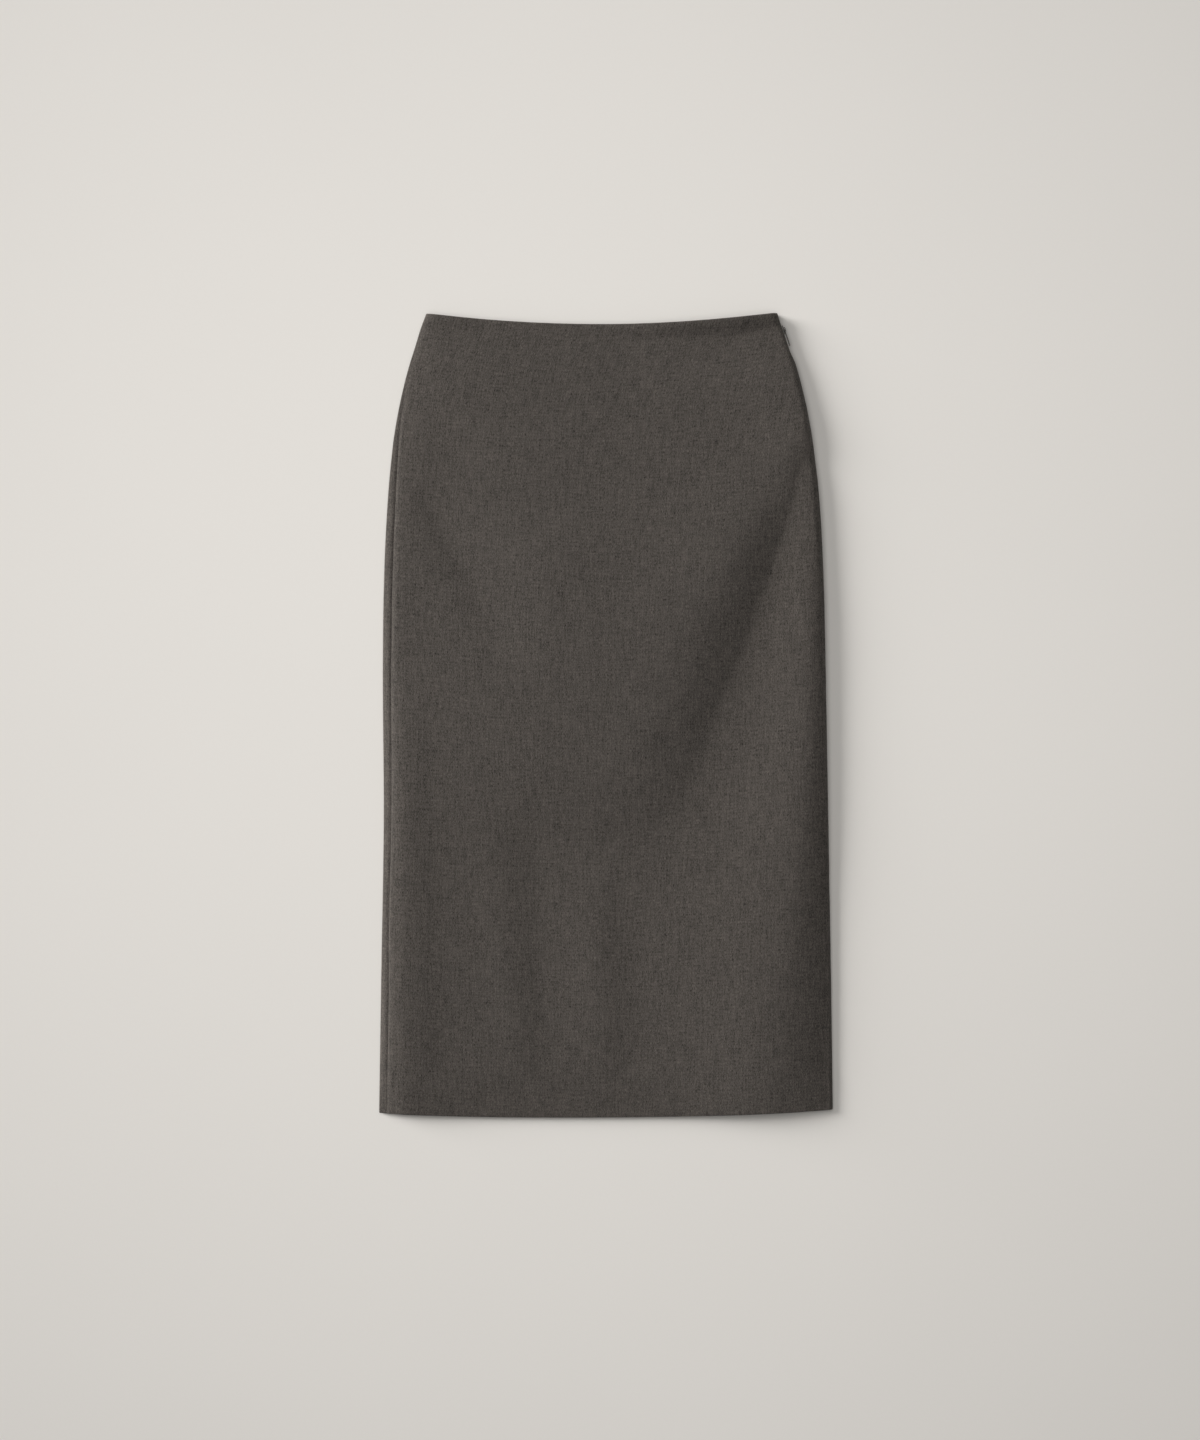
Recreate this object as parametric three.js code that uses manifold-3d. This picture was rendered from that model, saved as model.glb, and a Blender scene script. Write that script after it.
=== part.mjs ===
// Pencil skirt of dark wool cloth, laid flat on its back with its front up.
// Millimetres, +Z up, waist towards +Y, hem towards -Y, underside on z = 0.
// One ring of cloth goes round the skirt at each level, and every panel is a stretch of that ring.

import * as THREE from 'three';
import { mergeVertices } from 'three/addons/utils/BufferGeometryUtils.js';
import Module from 'manifold-3d';

const wasm = await Module();
wasm.setup();

// Driving dimensions
const clothWall = 1.1; // one layer of cloth
const turnedWall = 2.4; // two layers, at the turned waist edge and the hem
const waistTurn = 9; // depth of the cloth turned in at the waist
const hemTurn = 24.5; // depth of the cloth turned up at the hem
const seamGap = 0.3;
const frontLength = 775.5; // waist to hem down the middle
const waistDip = 382.6; // level of the waist edge at its lowest point
const waistDipX = -5;
const waistHalf = 172;
const waistLift = 10.9; // how much higher the waist corners are
const hemLevel = -393.15;
const hemMiddleX = -45;
const hemRiseLeft = { half: 177.5, lift: 6, power: 4 };
const hemRiseRight = { half: 267, lift: 9.2, power: 5 };
const leftRoll = 9; // width of the left rounded edge, above its outermost point
const bottomRoll = 6; // width of both, from there down to the flat underside
const backSeamX = -4;
const rightSeamWay = 5; // the right side seam lies along the outermost point of the edge
const slitLength = 190; // the centre back seam is open below this
const slitSpread = 1.1; // how far each edge of the slit stands back at the hem
const zipLength = 185;
const zipStart = 12; // below the waist edge
const tapeWall = 1;
const tapeReach = 10; // how far each tape lies inwards past the rounded edge
const sliderDown = 17; // the slider's place below the waist edge
const endRound = 0.8; // how far the rounded waist and hem edges stand past their last row
const tapeEndRound = 0.3;
const normalStep = 0.004; // way round over which the cloth's slope is measured
const paceStep = 0.01; // way round over which its length is measured
const levelPasses = 4; // rounds in which a point finds its level on the curved waist and hem
const mergeWithin = 1e-4;

// The right side seam stands back where the zip's pull lies: how far, the level from which it
// does and the height below which it does
const pocket = { depth: 1.8, level: 344, levelFade: 14, top: 9.5, rise: 4 };

// The silhouette, the height of the outermost point of each rounded edge, and the width of
// the right one above that point
const outline = [
  { y: 395, left: -175.6, right: 168.0, leftHeight: 5.5, rightHeight: 5.2, rightRoll: 6.8 },
  { y: 378, left: -181.9, right: 174.4, leftHeight: 5.5, rightHeight: 5.2, rightRoll: 6.8 },
  { y: 363, left: -186.5, right: 179.1, leftHeight: 5.5, rightHeight: 5.2, rightRoll: 6.8 },
  { y: 338, left: -194.2, right: 187.3, leftHeight: 5.5, rightHeight: 5.2, rightRoll: 6.8 },
  { y: 314, left: -200.2, right: 193.6, leftHeight: 5.5, rightHeight: 5.3, rightRoll: 6.8 },
  { y: 289, left: -205.2, right: 199.0, leftHeight: 5.5, rightHeight: 5.4, rightRoll: 6.8 },
  { y: 264, left: -209.0, right: 203.5, leftHeight: 5.5, rightHeight: 5.5, rightRoll: 6.8 },
  { y: 216, left: -213.6, right: 209.0, leftHeight: 5.5, rightHeight: 5.5, rightRoll: 6.8 },
  { y: 142, left: -217.4, right: 213.3, leftHeight: 5.5, rightHeight: 5.5, rightRoll: 6.6 },
  { y: 44, left: -218.8, right: 215.3, leftHeight: 5.4, rightHeight: 5.4, rightRoll: 6.2 },
  { y: -102, left: -217.9, right: 217.6, leftHeight: 5.2, rightHeight: 5.0, rightRoll: 5.4 },
  { y: -250, left: -220.3, right: 220.3, leftHeight: 5.0, rightHeight: 4.6, rightRoll: 5.2 },
  { y: -386, left: -222.4, right: 222.3, leftHeight: 4.6, rightHeight: 4.4, rightRoll: 4.8 },
];

// How far inside the left silhouette the side seam runs on the top face
const leftSeam = [
  { y: 395, inset: 1.2 },
  { y: 330, inset: 1.8 },
  { y: 289, inset: 3.4 },
  { y: 264, inset: 4.8 },
  { y: 216, inset: 7.0 },
  { y: 142, inset: 8.1 },
  { y: 0, inset: 7.9 },
  { y: -148, inset: 6.8 },
  { y: -200, inset: 6.2 },
  { y: -280, inset: 7.3 },
  { y: -386, inset: 7.7 },
];

// General height of the front's face
const faceLevel = [
  { y: 395, height: 10.5 },
  { y: 200, height: 11 },
  { y: -200, height: 11 },
  { y: -330, height: 10.5 },
  { y: -395, height: 9.9 },
];

// The full belly of the front: its two flanks, from foot to top, and how high it stands
const belly = [
  { y: 395, leftFoot: -190, leftTop: -140, rightTop: 100, rightFoot: 190, rise: 1.0 },
  { y: 360, leftFoot: -200, leftTop: -120, rightTop: 110, rightFoot: 200, rise: 2.0 },
  { y: 300, leftFoot: -195, leftTop: -100, rightTop: 125, rightFoot: 205, rise: 3.5 },
  { y: 221, leftFoot: -185, leftTop: -55, rightTop: 155, rightFoot: 195, rise: 5.0 },
  { y: 182, leftFoot: -178, leftTop: -35, rightTop: 132, rightFoot: 188, rise: 6.0 },
  { y: 143, leftFoot: -168, leftTop: -10, rightTop: 108, rightFoot: 176, rise: 7.0 },
  { y: 103, leftFoot: -160, leftTop: 10, rightTop: 92, rightFoot: 166, rise: 8.0 },
  { y: 64, leftFoot: -160, leftTop: 15, rightTop: 74, rightFoot: 152, rise: 8.3 },
  { y: 25, leftFoot: -165, leftTop: 10, rightTop: 58, rightFoot: 140, rise: 8.0 },
  { y: -14, leftFoot: -170, leftTop: -5, rightTop: 38, rightFoot: 126, rise: 7.5 },
  { y: -54, leftFoot: -180, leftTop: -30, rightTop: 6, rightFoot: 108, rise: 6.0 },
  { y: -93, leftFoot: -190, leftTop: -70, rightTop: -40, rightFoot: 84, rise: 3.2 },
  { y: -130, leftFoot: -190, leftTop: -90, rightTop: -60, rightFoot: 60, rise: 0.8 },
  { y: -170, leftFoot: -190, leftTop: -90, rightTop: -70, rightFoot: 50, rise: 0 },
  { y: -400, leftFoot: -190, leftTop: -90, rightTop: -70, rightFoot: 50, rise: 0 },
];

// The swell along the right edge: its height, how far it spreads inwards, how far its
// crest stands from the edge, and the drop from there to the edge
const rightSwell = [
  { y: 395, rise: 0, spread: 30, inset: 14, drop: 1.0 },
  { y: 300, rise: 0.3, spread: 25, inset: 14, drop: 1.0 },
  { y: 221, rise: 0.6, spread: 20, inset: 13, drop: 1.2 },
  { y: 143, rise: 1.2, spread: 22, inset: 15, drop: 2.0 },
  { y: 103, rise: 2.0, spread: 25, inset: 17, drop: 3.0 },
  { y: 25, rise: 3.2, spread: 40, inset: 25, drop: 5.0 },
  { y: -54, rise: 4.6, spread: 55, inset: 31, drop: 6.5 },
  { y: -130, rise: 5.2, spread: 70, inset: 38, drop: 7.6 },
  { y: -200, rise: 4.8, spread: 75, inset: 43, drop: 7.5 },
  { y: -270, rise: 3.2, spread: 70, inset: 52, drop: 6.0 },
  { y: -340, rise: 1.5, spread: 60, inset: 62, drop: 3.4 },
  { y: -392, rise: 0.5, spread: 50, inset: 66, drop: 1.5 },
];

// The fall towards the left edge
const leftFall = [
  { y: 395, width: 14, drop: 0.6 },
  { y: 150, width: 16, drop: 1.0 },
  { y: -200, width: 20, drop: 1.2 },
  { y: -390, width: 20, drop: 0.8 },
];

// Height of the turned waist edge above the cloth below it
const waistBand = [
  { x: -176, rise: 0.8 },
  { x: -150, rise: 1.4 },
  { x: -110, rise: 0.6 },
  { x: 0, rise: 0.5 },
  { x: 60, rise: 1.2 },
  { x: 131, rise: 2.4 },
  { x: 160, rise: 1.6 },
  { x: 170, rise: 0.6 },
];
const waistBandFlat = 5;
const waistBandFade = 9;

// Soft folds, each from its upper end to its lower end. Height is negative for a trough,
// bow bends the fold towards +X, and the tapers are the shares of its length at each end.
const folds = [
  // right hip valley
  { x0: 200, y0: 230, x1: 100, y1: -110, bow: 12, left: 26, right: 30, height: -3, head: 0.35, tail: 0.35 },
  // left hip crease
  { x0: -192, y0: 250, x1: -100, y1: 40, bow: 0, left: 11, right: 30, height: -1.7, head: 0.3, tail: 0.5 },
  // swell below the left end of the waist
  { x0: -180, y0: 330, x1: -90, y1: 160, bow: 0, left: 24, right: 60, height: 1.3, head: 0.3, tail: 0.5 },
  // dip down the middle of the belly
  { x0: -4, y0: 180, x1: 4, y1: 20, bow: 0, left: 26, right: 30, height: -1, head: 0.35, tail: 0.35 },
  // long trough inside the left edge
  { x0: -172, y0: 70, x1: -160, y1: -390, bow: 0, left: 14, right: 26, height: -1.5, head: 0.3, tail: 0.1 },
  // ridges and troughs that hang from the belly to the hem
  { x0: -112, y0: -90, x1: -100, y1: -370, bow: 0, left: 20, right: 14, height: 1, head: 0.3, tail: 0.3 },
  { x0: -66, y0: -110, x1: -56, y1: -370, bow: 0, left: 14, right: 20, height: -0.7, head: 0.3, tail: 0.3 },
  { x0: -16, y0: -120, x1: -10, y1: -370, bow: 0, left: 22, right: 13, height: 0.8, head: 0.3, tail: 0.3 },
  { x0: 24, y0: -130, x1: 26, y1: -370, bow: 0, left: 14, right: 22, height: -0.6, head: 0.3, tail: 0.3 },
];

// Mesh counts
const bandRows = [1, 4, 8, 11, 16, 23, 34]; // millimetres below the waist edge
const evenRows = 29;
const hemRows = [25.5, 23.5, 12, 1]; // millimetres above the hem edge
const leftRollCells = 4;
const leftLapCells = 2; // from the left seam to the front's flat face
const frontCells = 31;
const rightRollCells = 5;
const flatCells = 4;

const mix = (a, b, t) => a + (b - a) * t;
const ease = (t) => {
  const c = Math.min(Math.max(t, 0), 1);
  return c * c * (3 - 2 * c);
};

// A smooth curve through a table's column
function along(rows, axis, column, at) {
  const sign = Math.sign(rows[rows.length - 1][axis] - rows[0][axis]);
  let k = 0;
  while (k < rows.length - 2 && sign * (at - rows[k + 1][axis]) > 0) k += 1;
  const a = rows[k];
  const b = rows[k + 1];
  const before = rows[Math.max(k - 1, 0)];
  const after = rows[Math.min(k + 2, rows.length - 1)];
  const span = b[axis] - a[axis];
  const slopeA = (b[column] - before[column]) / (b[axis] - before[axis]);
  const slopeB = (after[column] - a[column]) / (after[axis] - a[axis]);
  const t = Math.min(Math.max((at - a[axis]) / span, 0), 1);
  const t2 = t * t;
  const t3 = t2 * t;
  return a[column] * (2 * t3 - 3 * t2 + 1) + b[column] * (3 * t2 - 2 * t3)
    + span * (slopeA * (t3 - 2 * t2 + t) + slopeB * (t3 - t2));
}

function waistEdge(x) {
  return waistDip + waistLift * ((x - waistDipX) / waistHalf) ** 2;
}

function hemEdge(x) {
  const side = x < hemMiddleX ? hemRiseLeft : hemRiseRight;
  return hemLevel + side.lift * (Math.abs(x - hemMiddleX) / side.half) ** side.power;
}

function bellyHeight(x, y) {
  const at = (column) => along(belly, 'y', column, y);
  const leftFlank = ease((x - at('leftFoot')) / (at('leftTop') - at('leftFoot')));
  const rightFlank = ease((at('rightFoot') - x) / (at('rightFoot') - at('rightTop')));
  return at('rise') * leftFlank * rightFlank;
}

function foldHeight(x, y) {
  let height = 0;
  for (const fold of folds) {
    const length = Math.hypot(fold.x1 - fold.x0, fold.y1 - fold.y0);
    const wayX = (fold.x1 - fold.x0) / length;
    const wayY = (fold.y1 - fold.y0) / length;
    const share = ((x - fold.x0) * wayX + (y - fold.y0) * wayY) / length;
    if (share <= 0 || share >= 1) continue;
    const bowed = fold.bow * 4 * share * (1 - share);
    const across = (y - fold.y0) * wayX - (x - fold.x0) * wayY - bowed;
    const width = across > 0 ? fold.right : fold.left;
    const taper = ease(share / fold.head) * ease((1 - share) / fold.tail);
    height += fold.height * Math.exp(-((across / width) ** 2)) * taper;
  }
  return height;
}

// How far the right edge stands back at the zip's pull
function pocketDepth(y, z, rightHeight) {
  const level = ease((y - pocket.level) / pocket.levelFade);
  return pocket.depth * level * ease((pocket.top - z) / pocket.rise) * ease(z / rightHeight);
}

// Height of the front's outer face above the surface that the skirt lies on
function faceHeight(x, y) {
  const fromRight = along(outline, 'y', 'right', y) - x;
  const fromLeft = x - along(outline, 'y', 'left', y);
  const swell = (column) => along(rightSwell, 'y', column, y);
  const inset = swell('inset');
  const crest = swell('rise') * Math.exp(-(Math.max((fromRight - inset) / swell('spread'), 0) ** 2));
  const drop = swell('drop') * Math.max(1 - fromRight / inset, 0) ** 2;
  const fall = along(leftFall, 'y', 'drop', y) * (1 - ease(fromLeft / along(leftFall, 'y', 'width', y)));
  const depth = waistEdge(x) - y;
  const band = along(waistBand, 'x', 'rise', x) * (1 - ease((depth - waistBandFlat) / waistBandFade));
  return along(faceLevel, 'y', 'height', y) + bellyHeight(x, y) + foldHeight(x, y)
    + band + crest - drop - fall;
}

// The ring at one level. The way round is from the centre back along the left half of the
// underside (0 to 1), up the left edge (1 to 2 to 3), across the front (3 to 4), down the
// right edge (4 to 5 to 6) and back along the underside (6 to 7).
function ringPoint(way, y) {
  const left = along(outline, 'y', 'left', y);
  const right = along(outline, 'y', 'right', y);
  const leftHeight = along(outline, 'y', 'leftHeight', y);
  const rightHeight = along(outline, 'y', 'rightHeight', y);
  const rightRoll = along(outline, 'y', 'rightRoll', y);
  const part = Math.min(Math.floor(way), 6);
  const turn = (way - part) * Math.PI / 2;
  let x;
  let z;
  if (part === 0) {
    x = mix(backSeamX, left + bottomRoll, way);
    z = 0;
  } else if (part === 1) {
    x = left + bottomRoll * (1 - Math.sin(turn));
    z = leftHeight * (1 - Math.cos(turn));
  } else if (part === 2) {
    x = left + leftRoll * (1 - Math.cos(turn));
    z = leftHeight + (faceHeight(x, y) - leftHeight) * Math.sin(turn);
  } else if (part === 3) {
    x = mix(left + leftRoll, right - rightRoll, way - 3);
    z = faceHeight(x, y);
  } else if (part === 4) {
    x = right - rightRoll * (1 - Math.sin(turn));
    z = rightHeight + (faceHeight(x, y) - rightHeight) * Math.cos(turn);
  } else if (part === 5) {
    x = right - bottomRoll * (1 - Math.cos(turn));
    z = rightHeight * (1 - Math.sin(turn));
  } else {
    x = mix(right - bottomRoll, backSeamX, way - 6);
    z = 0;
  }
  if (part === 4 || part === 5) x -= pocketDepth(y, z, rightHeight);
  return { x, z };
}

// A point of the outer face. Down is the distance below the waist edge, at the front's length.
function facePoint(way, down) {
  const t = down / frontLength;
  let y = mix(waistDip, hemLevel, t);
  let point = ringPoint(way, y);
  for (let pass = 0; pass < levelPasses; pass += 1) {
    y = mix(waistEdge(point.x), hemEdge(point.x), t);
    point = ringPoint(way, y);
  }
  return new THREE.Vector3(point.x, y, point.z);
}

// The face's outward direction, from its slopes both ways
function faceNormal(way, down) {
  const part = Math.min(Math.floor(way), 6);
  const low = Math.max(way - normalStep, 0);
  const high = Math.min(way + normalStep, 7);
  const round = facePoint(high, down).sub(facePoint(low, down));
  const below = facePoint(way, Math.min(down + 1, frontLength));
  const lengthwise = below.sub(facePoint(way, Math.max(down - 1, 0)));
  const normal = lengthwise.cross(round).normalize();
  if (part === 0 || part === 6) normal.set(0, 0, -1);
  return normal;
}

// The way round at which the left side seam lies
function leftSeamWay(down) {
  const y = mix(waistDip, hemLevel, down / frontLength);
  const inset = along(leftSeam, 'y', 'inset', y);
  return 2 + Math.acos(1 - inset / leftRoll) / (Math.PI / 2);
}

// Moves a seam's edge half the seam gap along the ring
function besideSeam(way, down, side) {
  const pace = facePoint(way + side * paceStep, down).distanceTo(facePoint(way, down)) / paceStep;
  return way + side * seamGap / 2 / pace;
}

function wallAt(down) {
  return down < waistTurn || down > frontLength - hemTurn ? turnedWall : clothWall;
}

const rowsDown = [...bandRows];
const evenStart = bandRows[bandRows.length - 1];
const evenEnd = frontLength - hemRows[0];
for (let k = 1; k < evenRows; k += 1) rowsDown.push(mix(evenStart, evenEnd, k / evenRows));
for (const above of hemRows) rowsDown.push(frontLength - above);

// A closed wall between two grids of points, row by row, with a rounded end at each end row
function wallGeometry(face, inner, endOut) {
  const rows = face.length;
  const columns = face[0].length;
  const positions = [];
  const faceAt = face.map((row) => row.map((p) => positions.push(p.x, p.y, p.z) / 3 - 1));
  const innerAt = inner.map((row) => row.map((p) => positions.push(p.x, p.y, p.z) / 3 - 1));
  const ends = [0, rows - 1].map((row) => face[row].map((p, column) => {
    const next = face[row === 0 ? 1 : rows - 2][column];
    const out = p.clone().sub(next).normalize().multiplyScalar(endOut);
    const middle = p.clone().add(inner[row][column]).multiplyScalar(0.5).add(out);
    return positions.push(middle.x, middle.y, middle.z) / 3 - 1;
  }));
  const index = [];
  const quad = (a, b, c, d) => index.push(a, b, c, a, c, d);
  for (let r = 0; r < rows - 1; r += 1) {
    for (let c = 0; c < columns - 1; c += 1) {
      quad(faceAt[r][c], faceAt[r + 1][c], faceAt[r + 1][c + 1], faceAt[r][c + 1]);
      quad(innerAt[r][c], innerAt[r][c + 1], innerAt[r + 1][c + 1], innerAt[r + 1][c]);
    }
    const last = columns - 1;
    quad(faceAt[r][0], innerAt[r][0], innerAt[r + 1][0], faceAt[r + 1][0]);
    quad(faceAt[r][last], faceAt[r + 1][last], innerAt[r + 1][last], innerAt[r][last]);
  }
  const [top, bottom] = ends;
  for (let c = 0; c < columns - 1; c += 1) {
    quad(faceAt[0][c], faceAt[0][c + 1], top[c + 1], top[c]);
    quad(top[c], top[c + 1], innerAt[0][c + 1], innerAt[0][c]);
    quad(faceAt[rows - 1][c + 1], faceAt[rows - 1][c], bottom[c], bottom[c + 1]);
    quad(bottom[c + 1], bottom[c], innerAt[rows - 1][c], innerAt[rows - 1][c + 1]);
  }
  for (const column of [0, columns - 1]) {
    const turned = column === 0 ? 1 : 0;
    const caps = [
      [faceAt[0][column], top[column], innerAt[0][column]],
      [faceAt[rows - 1][column], innerAt[rows - 1][column], bottom[column]],
    ];
    for (const cap of caps) {
      if (turned) index.push(cap[0], cap[1], cap[2]);
      else index.push(cap[0], cap[2], cap[1]);
    }
  }
  const geometry = new THREE.BufferGeometry();
  geometry.setAttribute('position', new THREE.Float32BufferAttribute(positions, 3));
  geometry.setIndex(index);
  return geometry;
}

// A panel between two ways round, which may differ from row to row
function panelGeometry(waysAt) {
  const face = [];
  const inner = [];
  for (const down of rowsDown) {
    const points = waysAt(down).map((way) => {
      const outer = facePoint(way, down);
      const normal = faceNormal(way, down);
      return { outer, inner: outer.clone().addScaledVector(normal, -wallAt(down)) };
    });
    face.push(points.map((p) => p.outer));
    inner.push(points.map((p) => p.inner));
  }
  return wallGeometry(face, inner, endRound);
}

function steps(from, to, cells) {
  return Array.from({ length: cells + 1 }, (_, k) => mix(from, to, k / cells));
}

function frontWays(down) {
  const start = besideSeam(leftSeamWay(down), down, 1);
  const end = besideSeam(rightSeamWay, down, -1);
  return [...steps(start, 3, leftLapCells), ...steps(3, 4, frontCells).slice(1),
    ...steps(4, end, rightRollCells).slice(1)];
}

// The centre back edges stand apart by the seam gap, and further towards the hem in the slit
function backEdgeGap(down) {
  const slit = ease((down - (frontLength - slitLength)) / slitLength);
  return seamGap / 2 + slitSpread * slit;
}

function backLeftWays(down) {
  const y = mix(waistDip, hemLevel, down / frontLength);
  const width = backSeamX - along(outline, 'y', 'left', y) - bottomRoll;
  const end = besideSeam(leftSeamWay(down), down, -1);
  return [...steps(backEdgeGap(down) / width, 1, flatCells), ...steps(1, 2, leftRollCells).slice(1),
    ...steps(2, end, leftRollCells).slice(1)];
}

function backRightWays(down) {
  const y = mix(waistDip, hemLevel, down / frontLength);
  const width = along(outline, 'y', 'right', y) - bottomRoll - backSeamX;
  const start = besideSeam(rightSeamWay, down, 1);
  const end = 7 - backEdgeGap(down) / width;
  return [...steps(start, 6, rightRollCells), ...steps(6, end, flatCells).slice(1)];
}

// The closed zip's two tapes and coil, as one strip inside the right edge
function zipTapeGeometry() {
  const face = [];
  const inner = [];
  const tapeRows = rowsDown.filter((down) => down > zipStart && down < zipStart + zipLength);
  for (const down of tapeRows) {
    const y = mix(waistDip, hemLevel, down / frontLength);
    const right = along(outline, 'y', 'right', y);
    const rightRoll = along(outline, 'y', 'rightRoll', y);
    const frontSpan = right - rightRoll - along(outline, 'y', 'left', y) - leftRoll;
    const backSpan = right - bottomRoll - backSeamX;
    const ways = [4 - tapeReach / frontSpan, ...steps(4, 5, rightRollCells),
      ...steps(5, 6, rightRollCells).slice(1), 6 + tapeReach / backSpan];
    const points = ways.map((way) => ({ at: facePoint(way, down), normal: faceNormal(way, down) }));
    const sunk = clothWall + seamGap;
    face.push(points.map((p) => p.at.clone().addScaledVector(p.normal, -sunk)));
    inner.push(points.map((p) => p.at.clone().addScaledVector(p.normal, -sunk - tapeWall)));
  }
  return wallGeometry(face, inner, tapeEndRound);
}

function toSolid(geometry) {
  const bare = geometry.clone();
  bare.deleteAttribute('normal');
  bare.deleteAttribute('uv');
  const merged = mergeVertices(bare, mergeWithin);
  return new wasm.Manifold(new wasm.Mesh({
    numProp: 3,
    vertProperties: new Float32Array(merged.attributes.position.array),
    triVerts: new Uint32Array(merged.index.array),
  }));
}

function fromSolid(solid) {
  const mesh = solid.getMesh();
  const geometry = new THREE.BufferGeometry();
  geometry.setAttribute('position', new THREE.BufferAttribute(mesh.vertProperties, 3));
  geometry.setIndex(new THREE.BufferAttribute(mesh.triVerts, 1));
  return geometry;
}

// The zip's slider and pull, in their own frame: the pull's pivot at the origin, turning
// about z, x away from the skirt and y up the seam
const slider = { long: 9, wide: 3.4, thick: 0.5, clear: 0.6, arch: 0.5, archHalf: 2.1, archWide: 1.1 };
const pull = { long: 17, topWide: 2.8, endWide: 3.4, thick: 0.6, bar: 0.7, eyeLong: 2.8, eyeWide: 1.7 };

function sliderGeometry() {
  const base = new THREE.BoxGeometry(slider.thick, slider.long, slider.wide);
  base.translate(-slider.clear - slider.thick / 2, 0, 0);
  const foot = -slider.clear - slider.thick / 2;
  const outer = slider.archHalf;
  const innerHalf = slider.archHalf - slider.arch;
  const shape = new THREE.Shape();
  shape.moveTo(foot, -outer);
  shape.lineTo(slider.clear, -outer);
  shape.lineTo(slider.clear + slider.arch, -outer + slider.arch);
  shape.lineTo(slider.clear + slider.arch, outer - slider.arch);
  shape.lineTo(slider.clear, outer);
  shape.lineTo(foot, outer);
  shape.lineTo(foot, innerHalf);
  shape.lineTo(slider.clear, innerHalf);
  shape.lineTo(slider.clear, -innerHalf);
  shape.lineTo(foot, -innerHalf);
  const arch = new THREE.ExtrudeGeometry(shape, { depth: slider.archWide, bevelEnabled: false });
  arch.translate(0, 0, -slider.archWide / 2);
  return fromSolid(toSolid(base).add(toSolid(arch)));
}

function pullGeometry() {
  const top = pull.bar / 2;
  const end = top - pull.long + pull.endWide / 2;
  const shape = new THREE.Shape();
  shape.moveTo(-pull.topWide / 2, top);
  shape.lineTo(-pull.endWide / 2, end);
  shape.absarc(0, end, pull.endWide / 2, Math.PI, 2 * Math.PI, false);
  shape.lineTo(pull.topWide / 2, top);
  const eye = new THREE.Path();
  eye.moveTo(-pull.eyeWide / 2, top - pull.bar);
  eye.lineTo(-pull.eyeWide / 2, top - pull.bar - pull.eyeLong);
  eye.lineTo(pull.eyeWide / 2, top - pull.bar - pull.eyeLong);
  eye.lineTo(pull.eyeWide / 2, top - pull.bar);
  shape.holes.push(eye);
  const geometry = new THREE.ExtrudeGeometry(shape, {
    depth: pull.thick, bevelEnabled: false, curveSegments: 5,
  });
  geometry.translate(0, 0, -pull.thick / 2);
  geometry.rotateY(Math.PI / 2);
  return geometry;
}

const cloth = () => new THREE.MeshStandardMaterial({ color: 0x4b4642, roughness: 0.95, metalness: 0 });
const tape = () => new THREE.MeshStandardMaterial({ color: 0x3c3936, roughness: 0.9, metalness: 0 });
const painted = () => new THREE.MeshStandardMaterial({ color: 0x45413d, roughness: 0.45, metalness: 0.6 });

const skirt = new THREE.Group();

function addMesh(parent, name, geometry, material) {
  const mesh = new THREE.Mesh(geometry, material);
  mesh.name = name;
  parent.add(mesh);
}

addMesh(skirt, 'front_panel', panelGeometry(frontWays), cloth());
addMesh(skirt, 'back_panel_left', panelGeometry(backLeftWays), cloth());
addMesh(skirt, 'back_panel_right', panelGeometry(backRightWays), cloth());
addMesh(skirt, 'zip_tape', zipTapeGeometry(), tape());

const seamPoint = facePoint(rightSeamWay, sliderDown);
const seamNormal = faceNormal(rightSeamWay, sliderDown).setZ(0).normalize();
const pivotOut = seamGap + slider.thick + slider.clear;
const zipTop = new THREE.Group();
zipTop.position.copy(seamPoint).addScaledVector(seamNormal, pivotOut);
zipTop.rotation.z = Math.atan2(seamNormal.y, seamNormal.x);
addMesh(zipTop, 'zip_slider', sliderGeometry(), painted());
addMesh(zipTop, 'zip_pull', pullGeometry(), painted());
skirt.add(zipTop);

export default skirt;
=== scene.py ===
import math

import bmesh
import bpy
import numpy as np
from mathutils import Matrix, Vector


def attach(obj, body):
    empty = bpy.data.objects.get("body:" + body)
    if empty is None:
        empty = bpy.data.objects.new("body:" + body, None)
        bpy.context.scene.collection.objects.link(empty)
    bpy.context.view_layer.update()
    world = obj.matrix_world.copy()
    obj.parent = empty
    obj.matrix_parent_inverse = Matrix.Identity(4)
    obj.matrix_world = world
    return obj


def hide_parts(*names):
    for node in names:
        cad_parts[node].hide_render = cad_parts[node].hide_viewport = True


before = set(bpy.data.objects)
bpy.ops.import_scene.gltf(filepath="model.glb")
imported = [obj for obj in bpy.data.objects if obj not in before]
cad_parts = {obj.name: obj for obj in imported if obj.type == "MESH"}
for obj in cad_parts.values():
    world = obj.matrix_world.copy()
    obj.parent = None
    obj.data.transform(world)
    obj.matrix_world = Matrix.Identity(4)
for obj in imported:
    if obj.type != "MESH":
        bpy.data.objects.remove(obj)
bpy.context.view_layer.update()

# Pencil skirt of dark wool, laid flat with its front up. Shapes are worked out in millimetres
# and written in metres: waist towards +Y, underside on the floor at z = 0.
mm = 0.001
print("frame loaded,", len(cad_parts), "nodes")

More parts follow.
